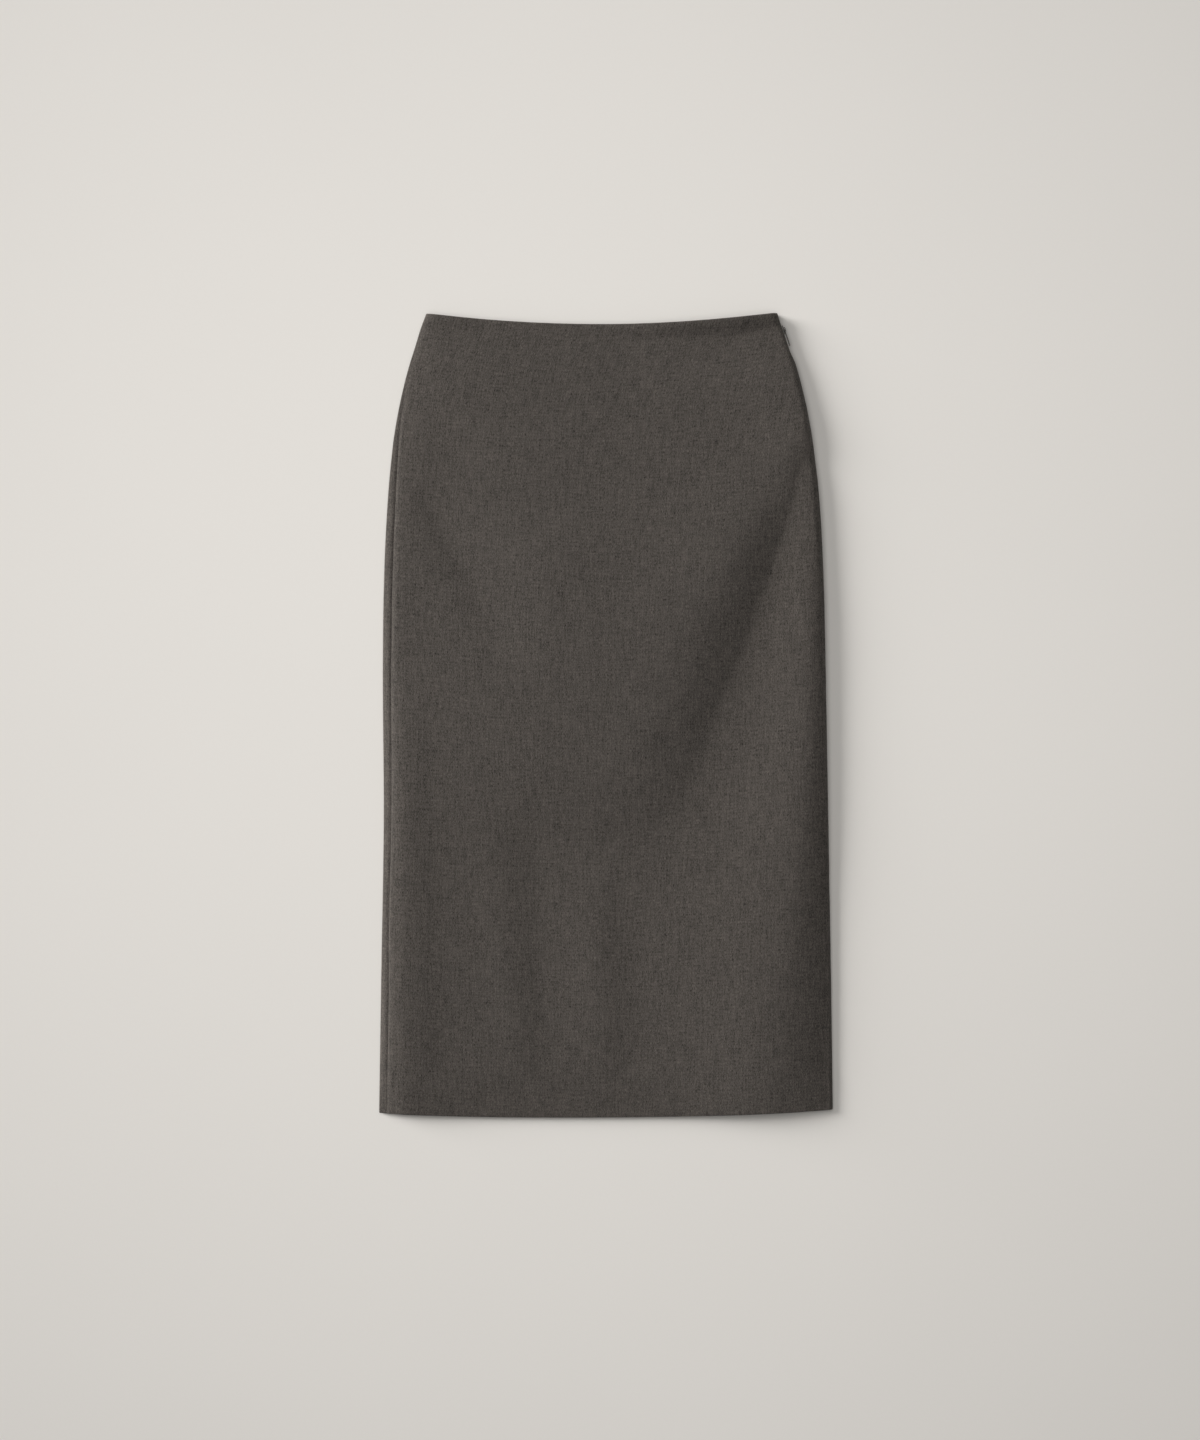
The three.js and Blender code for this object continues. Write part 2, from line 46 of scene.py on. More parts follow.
# camera, light and floor
shot = {
    "tall": 1411.2,  # millimetres of floor that the picture takes in, top to bottom
    "middle": (-6.2, -4.5),  # the point under the middle of the picture
    "lens": 85,
    "sensor": 36,
}
light = {
    "fromLeft": 23,  # degrees that the key light stands up the picture from the left
    "height": 15.5,
    "softness": 30,
    "strength": 4.75,
    "topSize": 1.7,
    "topAt": (-0.25, 0.25, 1.75),
    "topPower": 11.5,
    "roomGlow": 0.176,
    "roomTint": (1.0, 0.99, 0.97),
    "keyTint": (1.0, 0.99, 0.975),
}
# pale floor, its colour painted darker away from a point near the top left: painted shade of the light's
# falloff
floorLook = {
    "size": 60,
    "pale": (0.862, 0.836, 0.8),
    "paintedLightCentre": (-0.25, 0.21),
    "paintedShade": 0.19,
    "reach": 2.2,  # square metres over which the painted shade comes in
}


def addObject(name, data):
    piece = bpy.data.objects.new(name, data)
    bpy.context.scene.collection.objects.link(piece)
    return piece


cameraData = bpy.data.cameras.new("camera")
cameraData.lens = shot["lens"]
cameraData.sensor_fit = "VERTICAL"
cameraData.sensor_height = shot["sensor"]
camera = addObject("camera", cameraData)
cameraHeight = shot["tall"] * mm * shot["lens"] / shot["sensor"]
camera.location = (shot["middle"][0] * mm, shot["middle"][1] * mm, cameraHeight)
bpy.context.scene.camera = camera

keyData = bpy.data.lights.new("key", "SUN")
keyData.energy = light["strength"]
keyData.angle = math.radians(light["softness"])
keyData.color = light["keyTint"]
keyLight = addObject("key", keyData)
across, up = math.radians(light["fromLeft"]), math.radians(light["height"])
towardsLight = Vector((-math.cos(across) * math.cos(up), math.sin(across) * math.cos(up), math.sin(up)))
keyLight.rotation_euler = towardsLight.to_track_quat("Z", "Y").to_euler()

topData = bpy.data.lights.new("top", "AREA")
topData.size = light["topSize"]
topData.energy = light["topPower"]
topData.color = light["roomTint"]
topLight = addObject("top", topData)
topLight.location = light["topAt"]

world = bpy.data.worlds.new("room")
world.use_nodes = True
background = world.node_tree.nodes["Background"]
background.inputs["Color"].default_value = (*light["roomTint"], 1)
background.inputs["Strength"].default_value = light["roomGlow"]
bpy.context.scene.world = world
bpy.context.scene.view_settings.view_transform = "Standard"


# shader helpers
def feed(tree, socket, value):
    if isinstance(value, bpy.types.NodeSocket):
        tree.links.new(value, socket)
    else:
        socket.default_value = value


def calc(tree, operation, *values):
    node = tree.nodes.new("ShaderNodeMath")
    node.operation = operation
    for socket, value in zip(node.inputs, values):
        feed(tree, socket, value)
    return node.outputs[0]


def noise(tree, coords, wide, high, detail=2.0, seed=0.0, rough=0.5):
    # grain of about this many millimetres each way, centred on zero
    mapping = tree.nodes.new("ShaderNodeMapping")
    mapping.inputs["Location"].default_value = (seed, seed * 0.37, seed * 0.61)
    mapping.inputs["Scale"].default_value = (1 / (wide * mm), 1 / (high * mm), 1 / (wide * mm))
    tree.links.new(coords, mapping.inputs["Vector"])
    node = tree.nodes.new("ShaderNodeTexNoise")
    node.inputs["Scale"].default_value = 1
    node.inputs["Detail"].default_value = detail
    node.inputs["Roughness"].default_value = rough
    tree.links.new(mapping.outputs["Vector"], node.inputs["Vector"])
    return calc(tree, "SUBTRACT", node.outputs["Fac"], 0.5)


def total(tree, parts):
    result = None
    for part, amount in parts:
        scaled = calc(tree, "MULTIPLY", part, amount)
        result = scaled if result is None else calc(tree, "ADD", result, scaled)
    return result


def tinted(tree, colour, variation):
    # a colour made lighter and darker by a value centred on zero
    node = tree.nodes.new("ShaderNodeVectorMath")
    node.operation = "SCALE"
    node.inputs[0].default_value = colour
    tree.links.new(calc(tree, "ADD", variation, 1.0), node.inputs["Scale"])
    return node.outputs[0]


def bumped(tree, shader, height, distance, strength):
    node = tree.nodes.new("ShaderNodeBump")
    node.inputs["Distance"].default_value = distance
    node.inputs["Strength"].default_value = strength
    tree.links.new(height, node.inputs["Height"])
    tree.links.new(node.outputs["Normal"], shader.inputs["Normal"])


def newMaterial(name, **values):
    material = bpy.data.materials.new(name)
    material.use_nodes = True
    shader = material.node_tree.nodes["Principled BSDF"]
    for label, value in values.items():
        shader.inputs[label.replace("_", " ")].default_value = value
    return material, material.node_tree, shader


def objectCoords(tree):
    return tree.nodes.new("ShaderNodeTexCoord").outputs["Object"]


def clothCoords(tree):
    node = tree.nodes.new("ShaderNodeUVMap")
    node.uv_map = "cloth"
    return node.outputs["UV"]


# wool twill: threads, heathered fibres, slubs both ways, and painted shade between the threads with painted
# highlight on their crowns
wool = {
    "colour": (0.0795, 0.0695, 0.0615),
    "thread": 0.56,  # millimetres from thread to thread
    "fleck": 2.45,
    "slubDown": 1.15,
    "slubAcross": 0.75,
    "cloud": 0.10,
    "weaveDepth": 0.2,
}


def makeWool():
    material, tree, shader = newMaterial("woolTwill", Roughness=0.92, Sheen_Weight=0.12, Sheen_Roughness=0.5)
    shader.inputs["Specular IOR Level"].default_value = 0.25
    shader.inputs["Sheen Tint"].default_value = (1.0, 0.97, 0.94, 1)
    coords = clothCoords(tree)
    split = tree.nodes.new("ShaderNodeSeparateXYZ")
    tree.links.new(coords, split.inputs[0])
    warpAt = calc(tree, "DIVIDE", split.outputs["X"], wool["thread"] * mm)
    weftAt = calc(tree, "DIVIDE", split.outputs["Y"], wool["thread"] * mm)
    diagonal = calc(tree, "ADD", calc(tree, "FLOOR", warpAt), calc(tree, "FLOOR", weftAt))
    warpOnTop = calc(tree, "LESS_THAN", calc(tree, "FLOORED_MODULO", diagonal, 4.0), 1.5)
    warpRound = calc(tree, "SINE", calc(tree, "MULTIPLY", calc(tree, "FRACT", warpAt), math.pi))
    weftRound = calc(tree, "SINE", calc(tree, "MULTIPLY", calc(tree, "FRACT", weftAt), math.pi))
    weftOnTop = calc(tree, "SUBTRACT", 1.0, warpOnTop)
    threads = calc(tree, "ADD", calc(tree, "MULTIPLY", warpRound, warpOnTop),
                   calc(tree, "MULTIPLY", calc(tree, "MULTIPLY", weftRound, weftOnTop), 0.85))
    fleck = noise(tree, coords, 0.55, 0.6, 1.0, 3.1)
    fibre = noise(tree, coords, 0.55, 2.4, 1.0, 11.7)
    slubDown = noise(tree, coords, 1.5, 16, 2.0, 5.3)
    slubAcross = noise(tree, coords, 14, 1.6, 2.0, 7.9)
    cloud = noise(tree, coords, 45, 60, 3.0, 1.3)
    shades = total(tree, [
        (fleck, wool["fleck"]), (fibre, wool["fleck"]), (slubDown, wool["slubDown"]),
        (slubAcross, wool["slubAcross"]), (cloud, wool["cloud"]),
        # painted shade and highlight: each thread lighter on its crown and darker at its sides, from its
        # rounded height
        (calc(tree, "SUBTRACT", threads, 0.6), 0.3),
    ])
    tree.links.new(tinted(tree, wool["colour"], shades), shader.inputs["Base Color"])
    height = total(tree, [(threads, 1.0), (fleck, 0.8), (slubDown, 0.7), (slubAcross, 0.5)])
    bumped(tree, shader, height, wool["weaveDepth"] * mm, 0.8)
    return material


def makeTape():
    material, tree, shader = newMaterial("zipTape", Roughness=0.88, Sheen_Weight=0.08)
    coords = clothCoords(tree)
    ribs = tree.nodes.new("ShaderNodeTexWave")
    ribs.bands_direction = "Y"
    ribs.inputs["Scale"].default_value = 260
    ribs.inputs["Distortion"].default_value = 1.5
    tree.links.new(coords, ribs.inputs["Vector"])
    grain = noise(tree, coords, 0.6, 1.2, 2.0, 2.2)
    # painted shade in the grooves between the ribs and painted highlight on their tops, from the same waves
    # as the bump
    shades = total(tree, [(grain, 0.5), (calc(tree, "SUBTRACT", ribs.outputs["Fac"], 0.5), 0.22)])
    tree.links.new(tinted(tree, (0.05, 0.045, 0.041), shades), shader.inputs["Base Color"])
    bumped(tree, shader, ribs.outputs["Fac"], 0.08 * mm, 0.7)
    return material


def makeThread(name, colour):
    material, tree, shader = newMaterial(name, Roughness=0.7, Sheen_Weight=0.15)
    coords = objectCoords(tree)
    twist = noise(tree, coords, 0.25, 0.5, 1.0, 4.4)
    tree.links.new(tinted(tree, colour, calc(tree, "MULTIPLY", twist, 0.9)), shader.inputs["Base Color"])
    bumped(tree, shader, twist, 0.05 * mm, 0.6)
    return material


def makeMetal():
    # satin enamel over zinc, rubbed bright here and there
    material, tree, shader = newMaterial("zipEnamel", Metallic=0.15, Coat_Weight=0.05)
    coords = objectCoords(tree)
    mottle = noise(tree, coords, 1.2, 1.2, 3.0, 6.6)
    rub = noise(tree, coords, 0.5, 2.4, 2.0, 8.1)
    shades = total(tree, [(mottle, 0.3), (rub, 0.5)])
    tree.links.new(tinted(tree, (0.06, 0.053, 0.048), shades), shader.inputs["Base Color"])
    rough = calc(tree, "ADD", calc(tree, "MULTIPLY", rub, 0.3), 0.55)
    tree.links.new(rough, shader.inputs["Roughness"])
    bumped(tree, shader, mottle, 0.03 * mm, 0.4)
    return material


def makeCoil():
    material, tree, shader = newMaterial("zipCoil", Roughness=0.45)
    coords = objectCoords(tree)
    grain = noise(tree, coords, 0.5, 0.5, 1.0, 9.2)
    tree.links.new(tinted(tree, (0.045, 0.041, 0.038), calc(tree, "MULTIPLY", grain, 0.4)),
                   shader.inputs["Base Color"])
    return material


def makeFloor():
    material, tree, shader = newMaterial("paleFloorPaintedShade", Roughness=0.85)
    coords = objectCoords(tree)
    split = tree.nodes.new("ShaderNodeSeparateXYZ")
    tree.links.new(coords, split.inputs[0])
    # painted shade: the colour darkens with the squared distance from the painted light's centre, out to the
    # reach
    aside = calc(tree, "SUBTRACT", split.outputs["X"], floorLook["paintedLightCentre"][0])
    upward = calc(tree, "SUBTRACT", split.outputs["Y"], floorLook["paintedLightCentre"][1])
    far = calc(tree, "ADD", calc(tree, "MULTIPLY", aside, aside), calc(tree, "MULTIPLY", upward, upward))
    fade = tree.nodes.new("ShaderNodeMapRange")
    tree.links.new(far, fade.inputs["Value"])
    fade.inputs["From Max"].default_value = floorLook["reach"]
    fade.inputs["To Max"].default_value = -floorLook["paintedShade"]
    grain = noise(tree, coords, 2.5, 2.5, 2.0, 3.7)
    drift = noise(tree, coords, 400, 400, 2.0, 0.9)
    # painted shade plus the floor's own grain and mottling
    shades = calc(tree, "ADD", fade.outputs["Result"], total(tree, [(grain, 0.015), (drift, 0.03)]))
    tree.links.new(tinted(tree, floorLook["pale"], shades), shader.inputs["Base Color"])
    bumped(tree, shader, grain, 0.05 * mm, 0.3)
    return material


woolTwill = makeWool()
tapeWeave = makeTape()
zipEnamel = makeMetal()
coilNylon = makeCoil()
sewingThread = makeThread("sewingThread", (0.07, 0.062, 0.056))

halfFloor = floorLook["size"] / 2
floorMesh = bpy.data.meshes.new("floor")
floorMesh.from_pydata([(-halfFloor, -halfFloor, 0), (halfFloor, -halfFloor, 0),
                       (halfFloor, halfFloor, 0), (-halfFloor, halfFloor, 0)], [], [(0, 1, 2, 3)])
floorMesh.materials.append(makeFloor())
floor = addObject("floor", floorMesh)
print("camera, light, floor and finishes ready")


# the skirt's form
def table(names, *rows):
    return {name: np.array(column, float) for name, column in zip(names.split(), zip(*rows))}


skirt = {
    "wall": 1.05,  # one layer of cloth
    "turnedWall": 1.8,  # two layers, at the waist and the hem
    "waistTurn": 9,
    "hemTurn": 24.5,
    "turnStep": 1.5,  # length over which the wall thickens at a turning's edge
    "length": 775.5,  # front, waist to hem
    "waistDip": 382.6,
    "waistDipX": -5,
    "waistHalf": 172,
    "waistLift": 10.9,
    "hemLevel": -393.7,
    "hemMiddleX": -45,
    "hemLeft": (177.5, 4.4, 2.5),  # reach, rise and power of the hem's curve
    "hemRight": (267, 7.8, 2.4),
    "leftRoll": 9,
    "bottomRoll": 6,
    "backSeamX": -4,
    "slitLength": 190,
    "slitSpread": 1.1,
    "rightSeamWay": 5,  # the right side seam lies along the outermost point of the edge
    "leastHeight": 3.9,  # where both walls lie pressed together
    "seamGap": 0.06,
    "floorGap": 0.05,  # the underside clears the floor by this much
}
outline = table(
    "y left right leftHeight rightHeight rightRoll",
    (395, -175.6, 168.0, 3.6, 5.0, 6.8),
    (378, -181.9, 174.4, 3.6, 5.0, 6.8),
    (363, -186.5, 179.1, 3.6, 5.0, 6.8),
    (338, -194.2, 187.3, 3.5, 4.9, 6.8),
    (314, -200.2, 193.5, 3.4, 4.4, 6.8),
    (289, -205.2, 198.7, 3.3, 3.8, 6.8),
    (264, -209.0, 202.9, 3.2, 3.3, 6.8),
    (216, -213.6, 208.4, 3.1, 3.0, 6.8),
    (142, -217.4, 212.7, 3.0, 2.9, 6.6),
    (44, -218.8, 215.0, 3.0, 2.8, 6.2),
    (-102, -217.9, 217.6, 2.9, 2.7, 5.4),
    (-250, -220.3, 220.3, 2.7, 2.5, 5.2),
    (-386, -222.4, 222.2, 2.4, 2.3, 4.8),
)
# side seam on the left: how far inside the outline it runs, how deep its groove is,
# and how much the front's edge stands up beside it
leftSeam = table(
    "y inset groove lip",
    (395, 1.2, 0.10, 0.00),
    (330, 1.8, 0.20, 0.00),
    (289, 3.4, 0.55, 0.08),
    (264, 4.8, 0.90, 0.16),
    (216, 7.0, 1.25, 0.26),
    (142, 8.1, 1.40, 0.30),
    (0, 7.9, 1.30, 0.28),
    (-148, 6.8, 1.05, 0.24),
    (-200, 6.2, 1.05, 0.24),
    (-280, 7.3, 1.20, 0.30),
    (-340, 7.5, 0.95, 0.45),
    (-370, 7.6, 0.60, 0.45),
    (-390, 7.7, 0.25, 0.25),
)
# the right side seam stands back where the zip's pull lies
pocket = {"depth": 1.8, "level": 344, "levelFade": 14, "top": 9.5, "rise": 4}
faceLevel = table(
    "y height",
    (395, 8.0),
    (200, 8.0),
    (0, 8.0),
    (-120, 8.8),
    (-200, 9.5),
    (-300, 9.7),
    (-330, 9.1),
    (-360, 7.7),
    (-395, 4.5),
)
belly = table(
    "y leftFoot leftTop rightTop rightFoot rise",
    (395, -190, -140, 150, 320, 0.5),
    (360, -200, -120, 150, 300, 1.3),
    (300, -215, -40, 160, 250, 3.1),
    (262, -228, -20, 160, 206, 4.5),
    (240, -240, -20, 158, 190, 5.0),
    (211, -256, -25, 147, 183, 5.8),
    (182, -280, -25, 130, 174, 6.8),
    (143, -300, -10, 108, 160, 8.1),
    (103, -300, 0, 88, 147, 9.2),
    (64, -300, -10, 60, 134, 9.8),
    (25, -300, -20, 44, 118, 9.4),
    (-14, -300, -30, 26, 102, 8.5),
    (-54, -290, -50, 0, 88, 7.2),
    (-93, -280, -80, -25, 75, 4.6),
    (-130, -250, -110, -70, 62, 1.6),
    (-170, -230, -120, -90, 56, 0),
    (-400, -190, -90, -70, 50, 0),
)
rightSwell = table(
    "y rise spread inset drop",
    (395, 0.8, 40, 8, 0.8),
    (340, 1.6, 40, 8, 0.8),
    (300, 2.2, 36, 9, 0.8),
    (255, 3.0, 28, 10, 1.0),
    (221, 3.8, 24, 11, 1.2),
    (182, 4.2, 24, 12, 1.6),
    (143, 4.8, 26, 14, 2.2),
    (103, 5.8, 30, 16, 3.2),
    (64, 6.4, 35, 18, 4.2),
    (25, 6.8, 40, 20, 5.2),
    (-54, 7.2, 50, 25, 7.0),
    (-130, 7.0, 63, 34, 9.0),
    (-200, 6.6, 75, 48, 10.8),
    (-270, 6.8, 70, 60, 12.0),
    (-340, 6.8, 65, 68, 11.6),
    (-392, 6.0, 60, 74, 6.8),
)
leftFall = table(
    "y width drop",
    (395, 18, 1.2),
    (350, 34, 2.6),
    (300, 40, 3.4),
    (250, 32, 3.4),
    (150, 22, 3.2),
    (20, 20, 3.4),
    (-200, 18, 3.4),
    (-320, 17, 3.2),
    (-390, 16, 2.8),
)
# the turned waist edge: its height above the cloth below, and the trough pressed under it
waistBand = table(
    "x rise flat fade",
    (-176, 0.8, 5, 8),
    (-150, 1.2, 5, 8),
    (-110, 0.6, 5, 8),
    (0, 0.8, 4, 9),
    (40, 1.9, 3, 12),
    (75, 4.0, 1, 16),
    (131, 5.6, 0, 18),
    (160, 3.9, 0, 16),
    (170, 1.4, 1, 12),
)
# soft folds: ends, bow towards +X, width each side, height (negative for a trough),
# and the share of the length over which each end fades
folds = table(
    "x0 y0 x1 y1 bow left right height head tail",
    (170, 262, 20, 20, 4, 50, 34, 1.8, 0.35, 0.40),  # crest above the right hip valley
    (-190, 252, -82, 16, 0, 15, 30, -2.3, 0.30, 0.50),  # left hip crease
    (-178, 358, -58, 186, 6, 30, 90, 2.0, 0.30, 0.35),  # drag line below the left waist
    (-72, 220, -44, 55, -4, 26, 60, 1.6, 0.40, 0.50),
    (15, 324, 185, 308, 0, 16, 16, 1.2, 0.35, 0.20),
    (-172, 70, -160, -390, 0, 14, 26, -1.0, 0.30, 0.10),
    (-196, 110, -196, -400, 0, 12, 64, 3.0, 0.35, 0.02),  # crest inside the left edge
    (-112, -70, -84, -375, 0, 22, 16, 1.2, 0.25, 0.20),
    (-72, -90, -54, -375, 0, 12, 22, -0.9, 0.25, 0.20),
    (-11, -120, -3, -375, 0, 24, 14, 1.1, 0.30, 0.25),
    (26, -130, 28, -375, 0, 14, 22, -0.8, 0.30, 0.25),
)
# the underside's creases, lifted off the floor
backFolds = table(
    "x0 y0 x1 y1 bow left right height head tail",
    (-150, 330, -60, 120, 0, 14, 26, 0.6, 0.4, 0.5),
    (120, 300, 150, -40, -8, 22, 16, 0.7, 0.3, 0.5),
    (-110, 60, -130, -330, 6, 18, 24, 0.5, 0.3, 0.3),
    (60, 20, 80, -370, -5, 20, 14, 0.6, 0.4, 0.2),
    (-40, 200, -30, -60, 0, 12, 18, 0.4, 0.3, 0.4),
    (30, 370, 44, 190, 0, 12, 14, 0.4, 0.3, 0.5),
)
rightRidge = {"inward": 4.6, "wide": 1.0, "high": 0.45, "start": 300, "fade": 120}
hem = {"imprint": 0.16, "imprintWide": 1.5, "wander": 0.8, "pucker": 0.11}
ripple = {"waves": 60, "seed": 4, "high": 0.035, "short": 11, "long": 38}


def mix(a, b, t):
    return a + (b - a) * t


def ease(t):
    c = np.clip(t, 0, 1)
    return c * c * (3 - 2 * c)


def softFloor(value, soft):
    # like the greater of the value and nothing, with a rounded corner
    return (value + np.sqrt(value ** 2 + soft ** 2)) / 2


def hump(away, wide):
    return np.exp(-(away / wide) ** 2)


def along(rows, axis, name, at):
    # smooth curve through one column of a table
    places, values = rows[axis], rows[name]
    if places[0] > places[-1]:
        places, values = places[::-1], values[::-1]
    slopes = np.empty(len(places))
    slopes[1:-1] = (values[2:] - values[:-2]) / (places[2:] - places[:-2])
    slopes[0] = (values[1] - values[0]) / (places[1] - places[0])
    slopes[-1] = (values[-1] - values[-2]) / (places[-1] - places[-2])
    k = np.clip(np.searchsorted(places, at, side="right") - 1, 0, len(places) - 2)
    span = places[k + 1] - places[k]
    t = np.clip((at - places[k]) / span, 0, 1)
    rise = t * t * (3 - 2 * t)
    bend = span * (slopes[k] * t * (1 - t) ** 2 - slopes[k + 1] * t * t * (1 - t))
    return values[k] + (values[k + 1] - values[k]) * rise + bend


def waistEdge(x):
    return skirt["waistDip"] + skirt["waistLift"] * ((x - skirt["waistDipX"]) / skirt["waistHalf"]) ** 2


def hemEdge(x):
    away = x - skirt["hemMiddleX"]
    leftRise = skirt["hemLeft"][1] * (np.abs(away) / skirt["hemLeft"][0]) ** skirt["hemLeft"][2]
    rightRise = skirt["hemRight"][1] * (np.abs(away) / skirt["hemRight"][0]) ** skirt["hemRight"][2]
    return skirt["hemLevel"] + np.where(away < 0, leftRise, rightRise)


def bellyHeight(x, y):
    leftFoot, leftTop, rightTop, rightFoot, rise = (
        along(belly, "y", name, y) for name in ("leftFoot", "leftTop", "rightTop", "rightFoot", "rise"))
    # the right flank falls more and more steeply, and ends in a narrow valley
    into = (x - rightTop) / (rightFoot - rightTop)
    rightFlank = softFloor(1 - np.maximum(into, 0) ** 2, 0.1)
    return rise * ease((x - leftFoot) / (leftTop - leftFoot)) * rightFlank


def foldHeight(rows, x, y):
    height = np.zeros(np.broadcast(x, y).shape)
    for x0, y0, x1, y1, bow, left, right, high, head, tail in zip(*rows.values()):
        length = math.hypot(x1 - x0, y1 - y0)
        wayX, wayY = (x1 - x0) / length, (y1 - y0) / length
        share = np.clip(((x - x0) * wayX + (y - y0) * wayY) / length, 0, 1)
        acrossFold = (y - y0) * wayX - (x - x0) * wayY - bow * 4 * share * (1 - share)
        width = np.where(acrossFold > 0, right, left)
        height = height + high * hump(acrossFold, width) * ease(share / head) * ease((1 - share) / tail)
    return height


def faceHeight(x, y):
    fromRight = along(outline, "y", "right", y) - x
    fromLeft = x - along(outline, "y", "left", y)
    rise, spread, inset, drop = (
        along(rightSwell, "y", name, y) for name in ("rise", "spread", "inset", "drop"))
    crest = rise * hump(np.maximum(fromRight - inset, 0), spread)
    edgeDrop = drop * np.maximum(1 - fromRight / inset, 0) ** 2
    fallWidth, fallDrop = (along(leftFall, "y", name, y) for name in ("width", "drop"))
    fall = fallDrop * np.maximum(1 - fromLeft / fallWidth, 0) ** 2
    depth = waistEdge(x) - y
    bandRise, bandFlat, bandFade = (along(waistBand, "x", name, x) for name in ("rise", "flat", "fade"))
    raised = bandRise * (1 - ease((depth - bandFlat) / bandFade))
    height = (along(faceLevel, "y", "height", y) + bellyHeight(x, y) + foldHeight(folds, x, y)
              + raised + crest - edgeDrop - fall)
    return skirt["leastHeight"] + softFloor(height - skirt["leastHeight"], 0.8)


def pocketDepth(y, z, rightHeight):
    level = ease((y - pocket["level"]) / pocket["levelFade"])
    return pocket["depth"] * level * ease((pocket["top"] - z) / pocket["rise"]) * ease(z / rightHeight)


def ringPoint(way, y):
    # once round at one level: 0 to 1 from the centre back out along the left underside, up the
    # left edge to 3, across the front to 4, down the right edge to 6 and back underneath to 7
    left, right, leftHeight, rightHeight, rightRoll = (
        along(outline, "y", name, y) for name in ("left", "right", "leftHeight", "rightHeight", "rightRoll"))
    leftRoll, bottomRoll, backSeamX = skirt["leftRoll"], skirt["bottomRoll"], skirt["backSeamX"]
    part = np.clip(np.floor(way), 0, 6)
    turn = (way - part) * math.pi / 2
    sine, cosine = np.sin(turn), np.cos(turn)
    where = [part == k for k in range(7)]
    x = np.select(where, [
        mix(backSeamX, left + bottomRoll, way),
        left + bottomRoll * (1 - sine),
        left + leftRoll * (1 - cosine),
        mix(left + leftRoll, right - rightRoll, way - 3),
        right - rightRoll * (1 - sine),
        right - bottomRoll * (1 - cosine),
        mix(right - bottomRoll, backSeamX, way - 6),
    ])
    face = faceHeight(x, y)
    none = np.zeros_like(x)
    z = np.select(where, [
        none,
        leftHeight * (1 - cosine),
        leftHeight + (face - leftHeight) * sine,
        face,
        rightHeight + (face - rightHeight) * cosine,
        rightHeight * (1 - sine),
        none,
    ])
    x = x - np.where(where[4] | where[5], pocketDepth(y, z, rightHeight), 0)
    return x, z


def facePoint(way, down):
    t = down / skirt["length"]
    y = mix(skirt["waistDip"], skirt["hemLevel"], t)
    x, z = ringPoint(way, y)
    for _ in range(4):
        y = mix(waistEdge(x), hemEdge(x), t)
        x, z = ringPoint(way, y)
    return np.stack([x, y + 0 * x, z], axis=-1)


def faceNormal(way, down):
    nudge = 0.004
    around = facePoint(np.minimum(way + nudge, 7), down) - facePoint(np.maximum(way - nudge, 0), down)
    below, above = np.minimum(down + 1, skirt["length"]), np.maximum(down - 1, 0)
    lengthwise = facePoint(way, below) - facePoint(way, above)
    normal = np.cross(lengthwise, around)
    normal = normal / np.linalg.norm(normal, axis=-1, keepdims=True)
    underside = (way < 1) | (way >= 6)
    return np.where(underside[..., None], (0.0, 0.0, -1.0), normal)


def levelAt(down):
    return mix(skirt["waistDip"], skirt["hemLevel"], down / skirt["length"])


def flatSpans(y):
    # widths of the ring's flat stretches: the front's and the left and right backs'
    left, right = along(outline, "y", "left", y), along(outline, "y", "right", y)
    front = right - along(outline, "y", "rightRoll", y) - left - skirt["leftRoll"]
    backLeftSpan = skirt["backSeamX"] - left - skirt["bottomRoll"]
    return front, backLeftSpan, right - skirt["bottomRoll"] - skirt["backSeamX"]


def seamWay(down):
    inset = along(leftSeam, "y", "inset", levelAt(down))
    return 2 + np.arccos(1 - inset / skirt["leftRoll"]) / (math.pi / 2)


rippleRng = np.random.default_rng(ripple["seed"])
rippleWaves = [(rippleRng.uniform(ripple["short"], ripple["long"]), rippleRng.normal(0, 0.55),
                rippleRng.uniform(0, 2 * math.pi)) for _ in range(ripple["waves"])]


def clothRipple(x, y):
    # the faint unevenness of cloth that has been worn and folded
    height = np.zeros(np.broadcast(x, y).shape)
    for length, lean, phase in rippleWaves:
        travel = x * math.cos(lean) + y * math.sin(lean)
        height = height + length * np.sin(2 * math.pi * travel / length + phase)
    return ripple["high"] * height / ripple["long"] / math.sqrt(ripple["waves"] / 8)


def hemRelief(x, up):
    # the line where the turned-up edge shows through, and the puckers below it
    line = skirt["hemTurn"] + hem["wander"] * (np.sin(x / 17 + 1) + 0.6 * np.sin(x / 6.1))
    imprint = hem["imprint"] * (0.7 + 0.3 * np.sin(x / 23)) * hump(up - line, hem["imprintWide"])
    gathers = np.sin(x / 2.7 + 0.8 * np.sin(x / 19)) * (0.5 + 0.5 * np.sin(x / 11 + 2))
    wave = gathers + 0.6 * np.sin(x / 5.3 + 1.7)
    inBand = ease(up / 6) * ease((skirt["hemTurn"] + 2 - up) / 6)
    return imprint + hem["pucker"] * wave * inBand


def rowsDown(edge):
    # close together at the waist and the hem, even between: start, end and number of rows
    stretches = [(16.5, 40, 12), (43, 732, 222), (735, 748, 8), (749.2, skirt["length"] - edge, 22)]
    return np.concatenate([np.arange(edge, 16, 1.05)] + [np.linspace(*stretch) for stretch in stretches])


def steps(start, end, cells, rows=1):
    # even steps from start to end in every row
    start, end = (np.broadcast_to(value, rows).reshape(-1, 1) for value in (start, end))
    return mix(start, end, np.linspace(0, 1, cells + 1))


def ringDistance(points):
    # distance round the cloth from its first column, row by row
    pace = np.linalg.norm(np.diff(points, axis=1), axis=-1)
    return np.concatenate([np.zeros((len(points), 1)), np.cumsum(pace, axis=1)], axis=1)


